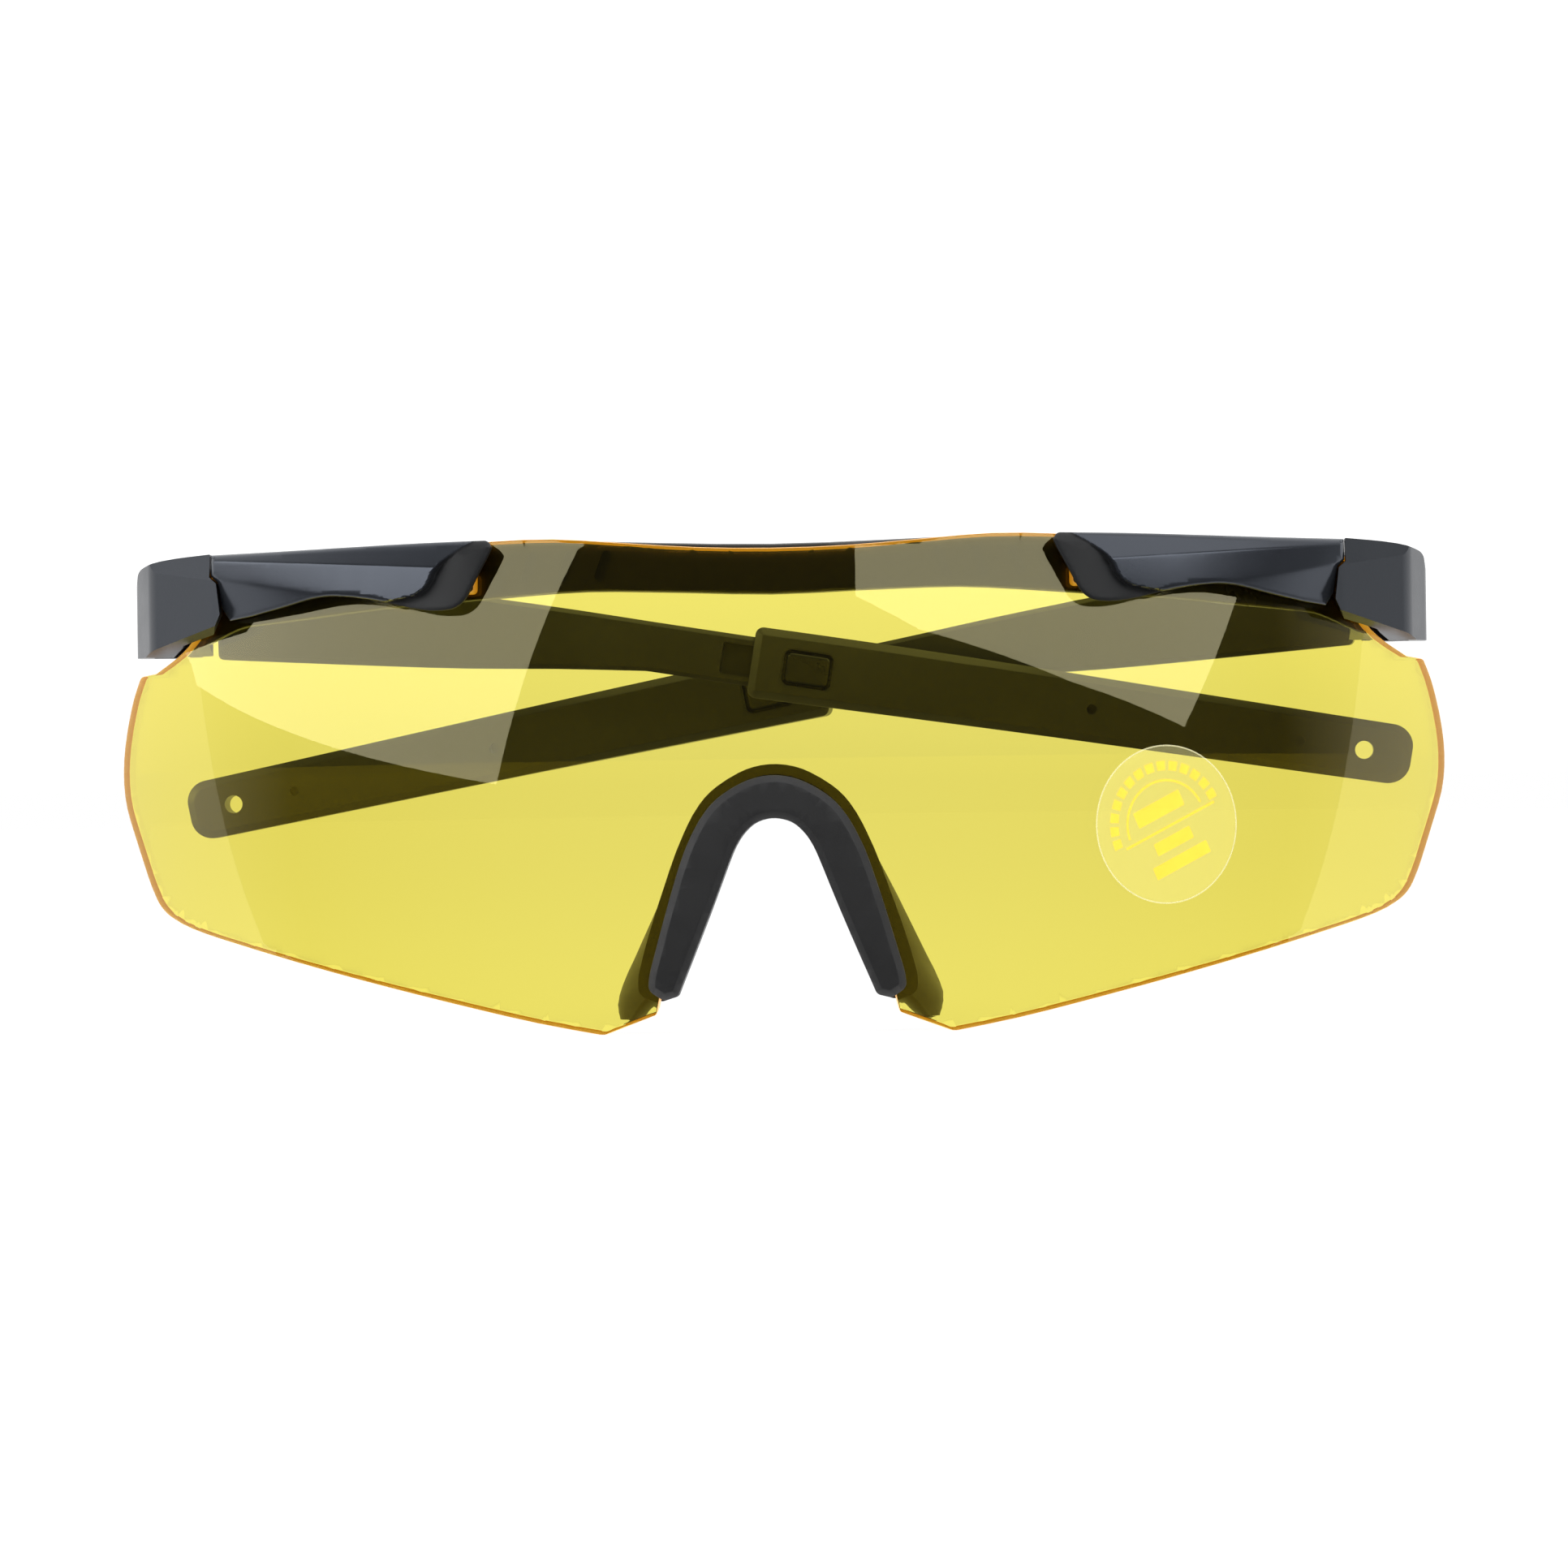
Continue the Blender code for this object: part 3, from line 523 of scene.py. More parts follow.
def slab(name: str, loop: Loop, near: float, far: float,
         near_rim: list[tuple[float, float]] | None = None,
         far_rim: list[tuple[float, float]] | None = None) -> bpy.types.Object:
    """Thicken a loop from Y = near to Y = far.

    Args:
        name: The object's name.
        loop: Outline in X and Z.
        near: Y of the first face.
        far: Y of the second face.
        near_rim: Inset and depth pairs that shape the first face's edge.
        far_rim: The same for the second face.

    Returns:
        The slab.
    """
    side = 1 if far > near else -1
    levels = [(inset, near + side * depth) for inset, depth in (near_rim or [(0.0, 0.0)])]
    levels += [(inset, far - side * depth) for inset, depth in reversed(far_rim or [(0.0, 0.0)])]
    rings = []
    for inset, y in levels:
        rings.append([(p.x, y, p.y) for p in grown(loop, -inset)])
    return skinned(name, rings)


def column(name: str, loop: Loop, low: float, high: float) -> bpy.types.Object:
    """A loop in X and Y carried from Z = low to Z = high."""
    return skinned(name, [[(p.x, p.y, z) for p in loop] for z in (low, high)])


def apply_modifiers(obj: bpy.types.Object) -> None:
    """Bake an object's modifiers into its mesh."""
    graph = bpy.context.evaluated_depsgraph_get()
    graph.update()
    made = bpy.data.meshes.new_from_object(obj.evaluated_get(graph))
    obj.modifiers.clear()
    obj.data = made


def combine(target: bpy.types.Object, other: bpy.types.Object, operation: str) -> None:
    """Join, cut or intersect with another solid, which is used up."""
    modifier = target.modifiers.new("join", "BOOLEAN")
    modifier.operation = operation
    modifier.solver = "EXACT"
    modifier.object = other
    apply_modifiers(target)
    bpy.data.objects.remove(other, do_unlink=True)


def cut(target: bpy.types.Object, other: bpy.types.Object) -> None:
    """Take another solid out of this one."""
    combine(target, other, "DIFFERENCE")


def fuse(target: bpy.types.Object, other: bpy.types.Object) -> None:
    """Join another solid to this one."""
    combine(target, other, "UNION")


def slice_at(obj: bpy.types.Object, point: Vector, normal: Vector, drop: bool = False) -> None:
    """Cut a mesh with a plane.

    Args:
        obj: The object.
        point: A point on the plane.
        normal: The plane's normal.
        drop: Whether what lies on the normal's side goes away, and the cut is closed.
    """
    bm = bmesh.new()
    bm.from_mesh(obj.data)
    everything = list(bm.verts) + list(bm.edges) + list(bm.faces)
    done = bmesh.ops.bisect_plane(bm, geom=everything, dist=1e-5, plane_co=point,
                                 plane_no=normal, clear_outer=drop)
    if drop:
        edges = [item for item in done["geom_cut"] if isinstance(item, bmesh.types.BMEdge)]
        bmesh.ops.holes_fill(bm, edges=edges, sides=0)
        bmesh.ops.recalc_face_normals(bm, faces=bm.faces)
    bm.to_mesh(obj.data)
    bm.free()


def split_large(obj: bpy.types.Object) -> None:
    """Make the many-cornered faces that a Boolean leaves into triangles."""
    bm = bmesh.new()
    bm.from_mesh(obj.data)
    bmesh.ops.triangulate(bm, faces=[f for f in bm.faces if len(f.verts) > 4])
    bm.to_mesh(obj.data)
    bm.free()


def mark_faces(obj: bpy.types.Object, test: Callable[[Vector, Vector], bool]) -> None:
    """Give the second material to the faces whose centre and normal pass a test."""
    for polygon in obj.data.polygons:
        polygon.material_index = 1 if test(polygon.center, polygon.normal) else 0


def slice_grid(obj: bpy.types.Object, pitch_x: float, pitch_z: float) -> None:
    """Cut a mesh into a grid over X and Z, fine enough to bend."""
    xs = [v.co.x for v in obj.data.vertices]
    zs = [v.co.z for v in obj.data.vertices]
    bm = bmesh.new()
    bm.from_mesh(obj.data)
    for low, high, pitch, normal in ((min(xs), max(xs), pitch_x, Vector((1, 0, 0))),
                                     (min(zs), max(zs), pitch_z, Vector((0, 0, 1)))):
        count = max(1, int(math.ceil((high - low) / pitch)))
        for k in range(1, count):
            everything = list(bm.verts) + list(bm.edges) + list(bm.faces)
            bmesh.ops.bisect_plane(bm, geom=everything, dist=1e-5, plane_no=normal,
                                   plane_co=normal * (low + (high - low) * k / count))
    bm.to_mesh(obj.data)
    bm.free()


def crease_line(obj: bpy.types.Object, start: tuple[float, float], end: tuple[float, float],
                width: float = 0.22) -> None:
    """Cut along and beside a line in X and Z so that a crease there can be rounded."""
    along = Vector((end[0] - start[0], 0, end[1] - start[1])).normalized()
    normal = along.cross(Vector((0, 1, 0))).normalized()
    for step in (-width, -width / 2, 0.0, width / 2, width):
        slice_at(obj, Vector((start[0], 0, start[1])) + normal * step, normal)


def move_points(obj: bpy.types.Object, where: Place) -> None:
    """Send every point through where(x, y, z), after splitting large faces into triangles."""
    split_large(obj)
    bm = bmesh.new()
    bm.from_mesh(obj.data)
    for vert in bm.verts:
        vert.co = where(*vert.co)
    bmesh.ops.recalc_face_normals(bm, faces=bm.faces)
    bm.to_mesh(obj.data)
    bm.free()


def bevel(obj: bpy.types.Object, width: float, angle: float = 30.0, segments: int = 3) -> None:
    """Round every edge sharper than an angle."""
    modifier = obj.modifiers.new("edge", "BEVEL")
    modifier.width = width
    modifier.segments = segments
    modifier.limit_method = "ANGLE"
    modifier.angle_limit = math.radians(angle)
    apply_modifiers(obj)


def mirrored(obj: bpy.types.Object, name: str) -> bpy.types.Object:
    """A copy mirrored about X = 0."""
    mesh = obj.data.copy()
    mesh.transform(Matrix.Diagonal((-1, 1, 1, 1)))
    mesh.flip_normals()
    made = bpy.data.objects.new(name, mesh)
    bpy.context.scene.collection.objects.link(made)
    return made


# ---- the frame the pieces share -------------------------------------------------------
def joint(name: str) -> dict:
    """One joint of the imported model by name."""
    return next(j for j in frame["joints"] if j["name"] == name)


@dataclass(frozen=True)
class LensCurve:
    """The lens's doubly curved front, tighter up and down than across."""

    radius_across: float = 92.003
    radius_up: float = 88.0
    apex_high: float = 30.0

    def depth(self, x: float, z: float) -> tuple[float, float, float]:
        """Depth behind the apex, and the slopes across and up, at a point."""
        up = z - self.apex_high
        across_root = math.sqrt(self.radius_across ** 2 - x * x)
        up_root = math.sqrt(self.radius_up ** 2 - up * up)
        return (self.radius_across - across_root + self.radius_up - up_root,
                x / across_root, up / up_root)

    def straight(self, x: float, y: float, z: float) -> Vector:
        """Bend a flat point on, keeping its place as seen from the front."""
        depth, across, up = self.depth(x, z)
        return Vector((x, depth + y * math.sqrt(1 + across * across + up * up), z))

    def square(self, x: float, y: float, z: float) -> Vector:
        """Bend a flat point on, square to the curve."""
        depth, across, up = self.depth(x, z)
        length = math.sqrt(1 + across * across + up * up)
        return Vector((x - y * across / length, depth + y / length, z - y * up / length))


@dataclass
class Bench:
    """Turns millimetre pieces into finished ones that ride on their bodies."""

    materials: dict[str, bpy.types.Material] = field(default_factory=dict)
    hinge_high: float = 51.2

    def front_place(self) -> Matrix:
        """Where the front's millimetre drawing sits: the lens's apex is at Y = 0 there."""
        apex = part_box("lens")[0][1]
        lift = joint("hinge_right")["pos_m"][2] - self.hinge_high * MM
        return Matrix.Translation((0, apex, lift))

    def dress(self, finish) -> bpy.types.Material:
        """The material of a finish, made once."""
        if finish.name not in self.materials:
            self.materials[finish.name] = finish.material()
        return self.materials[finish.name]

    def finish(self, obj: bpy.types.Object, finish, body: str, slot: str,
               replaced: tuple[str, ...] = (), place: Matrix | None = None,
               smooth: float = 32.0, second=None) -> bpy.types.Object:
        """Scale, smooth, dress and attach a piece.

        Args:
            obj: The piece, in millimetres.
            finish: Its finish.
            body: The body it rides on.
            slot: The record's material slot; not used.
            replaced: CAD nodes it stands for.
            place: Where its drawing sits; the front's place if left out.
            smooth: Edges sharper than this stay crisp, in degrees.
            second: The finish of the marked faces.

        Returns:
            The piece.
        """
        obj.data.transform(Matrix.Diagonal((MM, MM, MM, 1)))
        obj.data.transform(self.front_place() if place is None else place)
        obj.data.name = obj.name
        marks = [polygon.material_index for polygon in obj.data.polygons]
        obj.data.materials.clear()
        obj.data.materials.append(self.dress(finish))
        if second is not None:
            obj.data.materials.append(self.dress(second))
            obj.data.polygons.foreach_set("material_index", marks)
        for polygon in obj.data.polygons:
            polygon.use_smooth = True
        obj.data.set_sharp_from_angle(angle=math.radians(smooth))
        modifier = obj.modifiers.new("even_shading", "WEIGHTED_NORMAL")
        modifier.keep_sharp = True
        modifier.weight = 50
        apply_modifiers(obj)
        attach(obj, body)
        if replaced:
            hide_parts(*replaced)
        LOG.info("%s on %s, %d faces", obj.name, body, len(obj.data.polygons))
        return obj


# ---- the lens -------------------------------------------------------------------------
@dataclass
class ShieldLens:
    """The one-piece wrap-around lens."""

    bench: Bench
    curve: LensCurve
    thick: float = 2.0
    edge: float = 0.16
    pitch: float = 1.3
    slot_from: float = 32.4
    slot_wide: float = 2.2
    slot_low: float = 48.1
    slot_high: float = 2.4

    def outline(self) -> Loop:
        """The whole outline of the lens, seen from the front."""
        half: Points = [(0, 52.3), (8, 52.5), (15, 53.05), (23.6, 53.8), (30.3, 53.65), (46, 52.6),
                        (61.4, 51.4), (63.7, 50.5, 0.6), (63.9, 44.6), (65.2, 42.9), (66.8, 41.6),
                        (69.2, 40.1, 0.7), (71.1, 39.8, 0.6), (72.0, 37.6), (72.9, 34.0),
                        (73.4, 30.6), (73.45, 27.8), (73.1, 25.1), (72.0, 21.8), (70.2, 16.4),
                        (69.0, 13.9), (66.6, 12.3), (63.6, 11.2), (53.2, 8.15), (44.0, 5.7),
                        (35.2, 3.5), (26.0, 1.3), (18.9, 0.0, 1.6), (13.1, 2.2, 0.5), (12.2, 6.4),
                        (9.0, 15.1), (4.6, 24.0), (0, 26.0)]
        return soften(whole(half))

    def slot(self, side: Side) -> Loop:
        """The slot one clip hooks through."""
        return flipped(rounded_box(self.slot_from, self.slot_from + self.slot_wide, self.slot_low,
                                   self.slot_low + self.slot_high, 0.5), side)

    def build(self) -> bpy.types.Object:
        """Build and dress the lens.

        Returns:
            The lens.
        """
        rim = round_rim(self.edge, self.edge, 3)
        lens = slab("shield_lens", self.outline(), 0.0, self.thick, rim, rim)
        for side in Side:
            cut(lens, slab("cut", self.slot(side), -1.0, self.thick + 1.0))
        slice_grid(lens, self.pitch, self.pitch)
        mark_faces(lens, lambda centre, normal: abs(normal.y) < 0.8)
        move_points(lens, self.curve.square)
        # the edge faces carry a painted orange glow
        return self.bench.finish(lens, TintedPolycarbonate(), "front", "lens", ("lens",), smooth=40,
                                 second=UnpolishedEdge())


@dataclass
class ShapeSticker:
    """A round clear film on the front of the lens with a generic printed device."""

    bench: Bench
    curve: LensCurve
    at: tuple[float, float] = (42.1, 22.0)
    radius: float = 8.6
    glue: float = 0.01
    pitch: float = 0.8
    film: float = 0.06
    ink: float = 0.02
    tilt: float = math.radians(25)

    def on_lens(self, lift: float) -> Place:
        """A function that lays flat film points on the lens, this far in front."""
        def place(x: float, y: float, z: float) -> Vector:
            across = self.curve.depth(*self.at)[1]
            squeeze = 1 / math.sqrt(1 + across * across)
            a = x * math.cos(self.tilt) - z * math.sin(self.tilt)
            b = x * math.sin(self.tilt) + z * math.cos(self.tilt)
            return self.curve.square(self.at[0] + a * squeeze, y - lift, self.at[1] + b)
        return place

    def band(self, name: str, inner: float, outer: float, start: float,
             sweep: float) -> bpy.types.Object:
        """An arc of ink between two radii, angles in degrees."""
        steps = max(6, int(sweep / 5))
        angles = [math.radians(start + sweep * k / steps) for k in range(steps + 1)]
        loop = [Vector((outer * math.cos(t), outer * math.sin(t))) for t in angles]
        loop += [Vector((inner * math.cos(t), inner * math.sin(t))) for t in reversed(angles)]
        return slab(name, loop, 0.0, -self.ink)

    def build(self) -> None:
        """Build the film and its print."""
        film = slab("sticker_film", disc(0, 0, self.radius, 96), 0.0, -self.film,
                    None, round_rim(0.03, 0.03, 2))
        slice_grid(film, self.pitch, self.pitch)
        move_points(film, self.on_lens(self.glue))
        rim = self.band("sticker_rim", self.radius * 0.982, self.radius, 0, 360)
        slice_grid(rim, self.pitch, self.pitch)
        move_points(rim, self.on_lens(self.film + 2 * self.glue))
        self.bench.finish(rim, CastFilm("vinyl_cut_edge", "#fbf6c8", 0.30), "front", "lens")
        clear = CastFilm("clear_vinyl_film", "#fff6a8", 0.07)
        self.bench.finish(film, clear, "front", "lens")
        # the print glows with painted emission, though it is no lamp
        ink = CastFilm("amber_print", "#f4c81e", 0.34, 0.4, 0.15, 0.55)
        marks = []
        ring = self.radius
        for k in range(14):
            marks.append(self.band("mark", ring * 0.68, ring * 0.80, 13 * k + 1, 9))
        marks.append(self.band("mark", ring * 0.54, ring * 0.57, 5, 170))
        for left, right, row, high in (
                (-5.6, 6.3, -0.3, 0.28), (-3.2, 2.9, 1.9, 1.8), (-2.4, 2.4, -2.0, 1.4),
                (-3.6, 3.6, -4.3, 1.4)):
            marks.append(slab("mark", rounded_box(left, right, row - high / 2, row + high / 2, 0.1),
                              0.0, -self.ink))
        for k, mark in enumerate(marks):
            slice_grid(mark, 0.9, 0.9)
            move_points(mark, self.on_lens(self.film + 2 * self.glue))
            mark.name = f"sticker_mark_{k:02d}"
            self.bench.finish(mark, ink, "front", "lens")


# ---- the clips ------------------------------------------------------------------------
@dataclass
class LensClip:
    """A faceted clip over the top corner of the lens, with a sculpted lobe at its inner end."""

    bench: Bench
    curve: LensCurve
    gap: float = 0.3
    stand: float = 3.1
    lobe_stand: float = 2.1
    pitch: float = 0.5
    shoulder_wide: float = 0.7
    shoulder: tuple[tuple[float, float], ...] = (
        (32.7, 53.3), (34.3, 52.4), (35.9, 51.2), (36.6, 50.3), (37.0, 49.3), (37.6, 48.5),
        (38.7, 47.8), (41.0, 47.4))

    def outline(self) -> Loop:
        """The clip's outline, seen from the front."""
        return soften([(30.7, 53.65, 0.7), (38.0, 53.55), (46.0, 53.3), (54.0, 53.05),
                       (62.05, 52.9, 0.1), (62.1, 50.6, 0.1), (61.33, 49.87, 0.1),
                       (60.93, 47.1, 0.3), (60.0, 45.65, 0.15), (57.6, 46.05, 1.0), (53.4, 47.0),
                       (50.6, 47.75), (48.5, 48.05), (45.6, 47.85), (42.6, 47.35), (40.2, 46.75),
                       (38.2, 46.3), (36.4, 46.1), (34.4, 46.3), (33.2, 47.2), (32.5, 48.5),
                       (31.6, 50.3), (30.7, 51.9), (30.25, 52.9, 0.3)], arc=0.1)

    def lobe_edge(self, z: float) -> float:
        """Where the lobe's S-shaped shoulder runs at a height."""
        high, low = self.shoulder[0], self.shoulder[-1]
        if z >= high[1]:
            return high[0] - (z - high[1]) * 1.5
        for (x0, z0), (x1, z1) in zip(self.shoulder, self.shoulder[1:]):
            if z >= z1:
                return x0 + (x1 - x0) * (z0 - z) / (z0 - z1)
        return low[0] + (low[1] - z) * 6.0

    @staticmethod
    def soft_least(values: list[float], blend: float = 0.035) -> float:
        """The least of some values, with the corner between near-equal ones rounded."""
        least = min(values)
        total = sum(math.exp(-(v - least) / blend) for v in values)
        return least - blend * math.log(total)

    def height(self, x: float, z: float) -> float:
        """How far the clip's face stands in front of the lens at a point."""
        ridge = 50.85 + (x - 37.4) * 0.0574
        upper = self.stand - 0.42 * (z - ridge)
        lower = self.stand - 0.17 * (ridge - z)
        fold = 48.05 + (x - 48.5) * 0.165
        corner = lower - 0.24 * (fold - z)
        face = self.soft_least([upper, lower, corner])
        share = min(1.0, max(0.0, (self.lobe_edge(z) - x) / self.shoulder_wide + 0.5))
        share = share * share * (3 - 2 * share)
        lobe = self.lobe_stand - 0.028 * (x - 34.4) ** 2 - 0.09 * (51.0 - z)
        return max(0.9, face + (min(face - 0.2, lobe) - face) * share)

    def build(self, side: Side) -> bpy.types.Object:
        """Build and dress one clip.

        Args:
            side: Which clip.

        Returns:
            The clip.
        """
        rim = round_rim(0.42, 0.42, 3)
        clip = slab("clip_shell_right", self.outline(), -self.gap, -self.gap - self.stand,
                    None, rim)
        for start, end in (((37.4, 50.85), (52.2, 51.7)), ((61.4, 50.2), (48.5, 48.05))):
            crease_line(clip, start, end)
        for start, end in zip(self.shoulder, self.shoulder[1:]):
            crease_line(clip, start, end, 0.3)
        slice_grid(clip, self.pitch, self.pitch)

        def lift(x: float, y: float, z: float) -> Vector:
            share = (-y - self.gap) / self.stand
            return self.curve.straight(x, -self.gap - share * self.height(x, z), z)
        move_points(clip, lift)
        hook = slab("hook", rounded_box(33.2, 34.3, 48.4, 50.2, 0.35), -self.gap - 0.8, 1.9)
        slice_grid(hook, 0.8, 0.8)
        move_points(hook, self.curve.square)
        fuse(clip, hook)
        mark_faces(clip, lambda centre, normal: centre.x < self.lobe_edge(centre.z) + 0.1
                   and centre.x < 43.0 and normal.y < 0.2)
        if side is Side.LEFT:
            other = mirrored(clip, "clip_shell_left")
            bpy.data.objects.remove(clip, do_unlink=True)
            clip = other
        # painted reflection: the blue specular tint makes the clip's reflections cool, standing in
        # for cool light
        face = MouldedPlastic("moulded_nylon_clip", "#191b1e", "#212327", 0.22, 0.08, 0.30, 0.004,
                              specular=0.55, sheen="#e2ecff")
        lobe = MouldedPlastic("moulded_nylon_lobe", "#151617", "#1a1b1d", 0.50, 0.08, 0.30, 0.010,
                              specular=0.25)
        return self.bench.finish(clip, face, "front", "frame_nylon", (f"lens_clip_{side.word}",),
                                 smooth=55, second=lobe)


# ---- the brow frame -------------------------------------------------------------------
@dataclass
class BrowFrame:
    """The bar behind the top of the lens and the corner blocks that carry the hinges."""

    bench: Bench
    curve: LensCurve
    lens: ShieldLens
    gap: float = 0.3
    thick: float = 3.2
    end_thick: float = 1.9
    wall: float = 2.8
    outset: float = 5.5
    butt: float = 3.5
    knuckle: float = 2.3
    knuckle_high: float = 3.8
    knuckle_drop: float = 3.6
    vent_deep: float = 1.6
    pocket_room: float = 0.45
    lug_high: float = 2.0
    lug_low: float = 3.6
    # painted light: the bar's nylon is drawn lighter than the corners' to stand in for light
    # reaching the bar behind the lens
    bar_finish: MouldedPlastic = MouldedPlastic("moulded_nylon_bar", "#272725", "#302f2c", 0.24)
    # painted reflection: the blue specular tint makes the corners' reflections cool, standing in
    # for cool light
    finish: MouldedPlastic = MouldedPlastic("moulded_nylon_frame", "#17181a", "#1e2022", 0.34,
                                            specular=0.36, sheen="#e2ecff")

    def pivot(self) -> Vector:
        """The right hinge axis in the front's drawing, in millimetres."""
        at = Vector(joint("hinge_right")["pos_m"])
        return (self.bench.front_place().inverted() @ at) / MM

    def bar(self) -> bpy.types.Object:
        """The bar, with three raked vents on each side."""
        near = self.lens.thick + self.gap
        half: Points = [(0, 52.75), (12, 53.1), (23.6, 53.6), (30.3, 53.4), (46, 52.5),
                        (61.4, 51.2), (64.5, 50.4, 0.8), (65.9, 44.6),
                        (66.1, 41.8, 0.7), (62.9, 42.7, 0.8),
                        (58.3, 44.8), (55.5, 45.05), (49.9, 45.6), (42.6, 46.4), (32.7, 47.0),
                        (26.0, 47.5), (19.8, 47.85), (8.8, 47.5), (0, 47.1)]
        bar = slab("brow_bar", soften(whole(half)), near, near + self.thick, round_rim(0.3, 0.3, 2),
                   round_rim(0.6, 0.6, 4))
        for side in Side:
            for x in (18.1, 22.1, 26.1):
                lean = Matrix.Rotation(side.value * math.radians(18), 2)
                loop = [lean @ p + Vector((side.value * x, 50.5))
                        for p in rounded_box(-0.55, 0.55, -1.7, 1.7, 0.5)]
                cut(bar, slab("cut", loop, near - 1, near + self.vent_deep))
        slice_grid(bar, 2.0, 3.0)

        def taper(x: float, y: float, z: float) -> Vector:
            share = min(1.0, max(0.0, (abs(x) - 50) / 9))
            thick = self.thick + (self.end_thick - self.thick) * share
            return self.curve.straight(x, near + (y - near) * thick / self.thick, z)
        move_points(bar, taper)
        return bar

    def corner(self) -> bpy.types.Object:
        """The right corner block: side wall, hinge lugs and the pocket for the lens."""
        p = self.pivot()
        px, py = p.x, p.y
        wall_out = px + self.outset
        wall_in = wall_out - self.wall
        end = py + self.butt - self.gap
        plan = soften([(px - 6.0, py - 17.5, 0), (px - 3.9, py - 15.5, 0),
                       (px + 3.4, py - 8.2, 5.0),
                       (wall_out, py - 2.5, 4.0), (wall_out, end, 0.6), (wall_in, end, 0.4),
                       (wall_in, py - 2.9, 0.8), (px - 1.5, py - 3.0, 0.4),
                       (px - 6.0, py - 5.0, 0)])
        block = column("frame_corner_right", plan, 38.0, 55.0)
        shape = soften([(62.2, 53.0, 0.1), (66.4, 52.7), (69.2, 52.3), (71.2, 51.5, 1.2),
                        (71.9, 47.0), (71.9, 40.0, 0), (62.2, 40.0, 0), (62.2, 43.9, 0.2),
                        (61.05, 46.35, 0.2), (61.45, 49.75, 0.1), (62.25, 50.45, 0.1)])
        combine(block, slab("shape", shape, py - 25, py + 15), "INTERSECT")
        low = Vector((px - 2.3, py - 13.8, 44.4))
        under = (Vector((px + 4.2, py - 6.0, 41.9)) - low).cross(
            Vector((px - 2.3, py - 5.5, 42.2)) - low).normalized()
        slice_at(block, low, -under if under.z > 0 else under, drop=True)
        slice_at(block, Vector((px, py, 41.85)), Vector((0, 0, -1)), drop=True)
        top = Vector((62.3, py - 15.35, 50.0))
        slope = (Vector((67.7, py - 9.95, 50.85)) - top).cross(
            Vector((64.4, py - 12.1, 53.6)) - top).normalized()
        slice_at(block, top, slope if slope.z > 0 else -slope, drop=True)
        bevel(block, 0.22, 14.0, 3)
        base = p.z - self.knuckle_drop
        half = self.knuckle_high / 2
        for z0, z1 in ((base - half - self.gap - self.lug_low, base - half - self.gap),
                       (base + half + self.gap, base + half + self.gap + self.lug_high)):
            loop = soften([(px - self.knuckle, py, 1.2), (px - 1.6, py + 2.1, 1.8),
                           (px + 1.6, py + 2.1, 1.8), (px + 3.4, py - 1.0, 0.5),
                           (px + 3.4, py - 4.2, 0), (px - self.knuckle, py - 4.2, 0)])
            fuse(block, column("lug", loop, z0, z1))
        pocket = slab("pocket", grown(self.lens.outline(), self.pocket_room), -self.gap,
                      self.lens.thick + self.gap)
        slice_grid(pocket, 2.5, 5.0)
        move_points(pocket, self.curve.straight)
        cut(block, pocket)
        cut(block, column("bore", disc(px, py, 1.0, 32), base - 8, base + 3.6))
        return block

    def build(self) -> None:
        """Build and dress the bar and both corners."""
        bar = self.bar()
        corner = self.corner()
        other = mirrored(corner, "frame_corner_left")
        self.bench.finish(bar, self.bar_finish, "front", "frame_nylon", ("brow_frame",))
        self.bench.finish(corner, self.finish, "front", "frame_nylon", smooth=40)
        self.bench.finish(other, self.finish, "front", "frame_nylon", smooth=40)


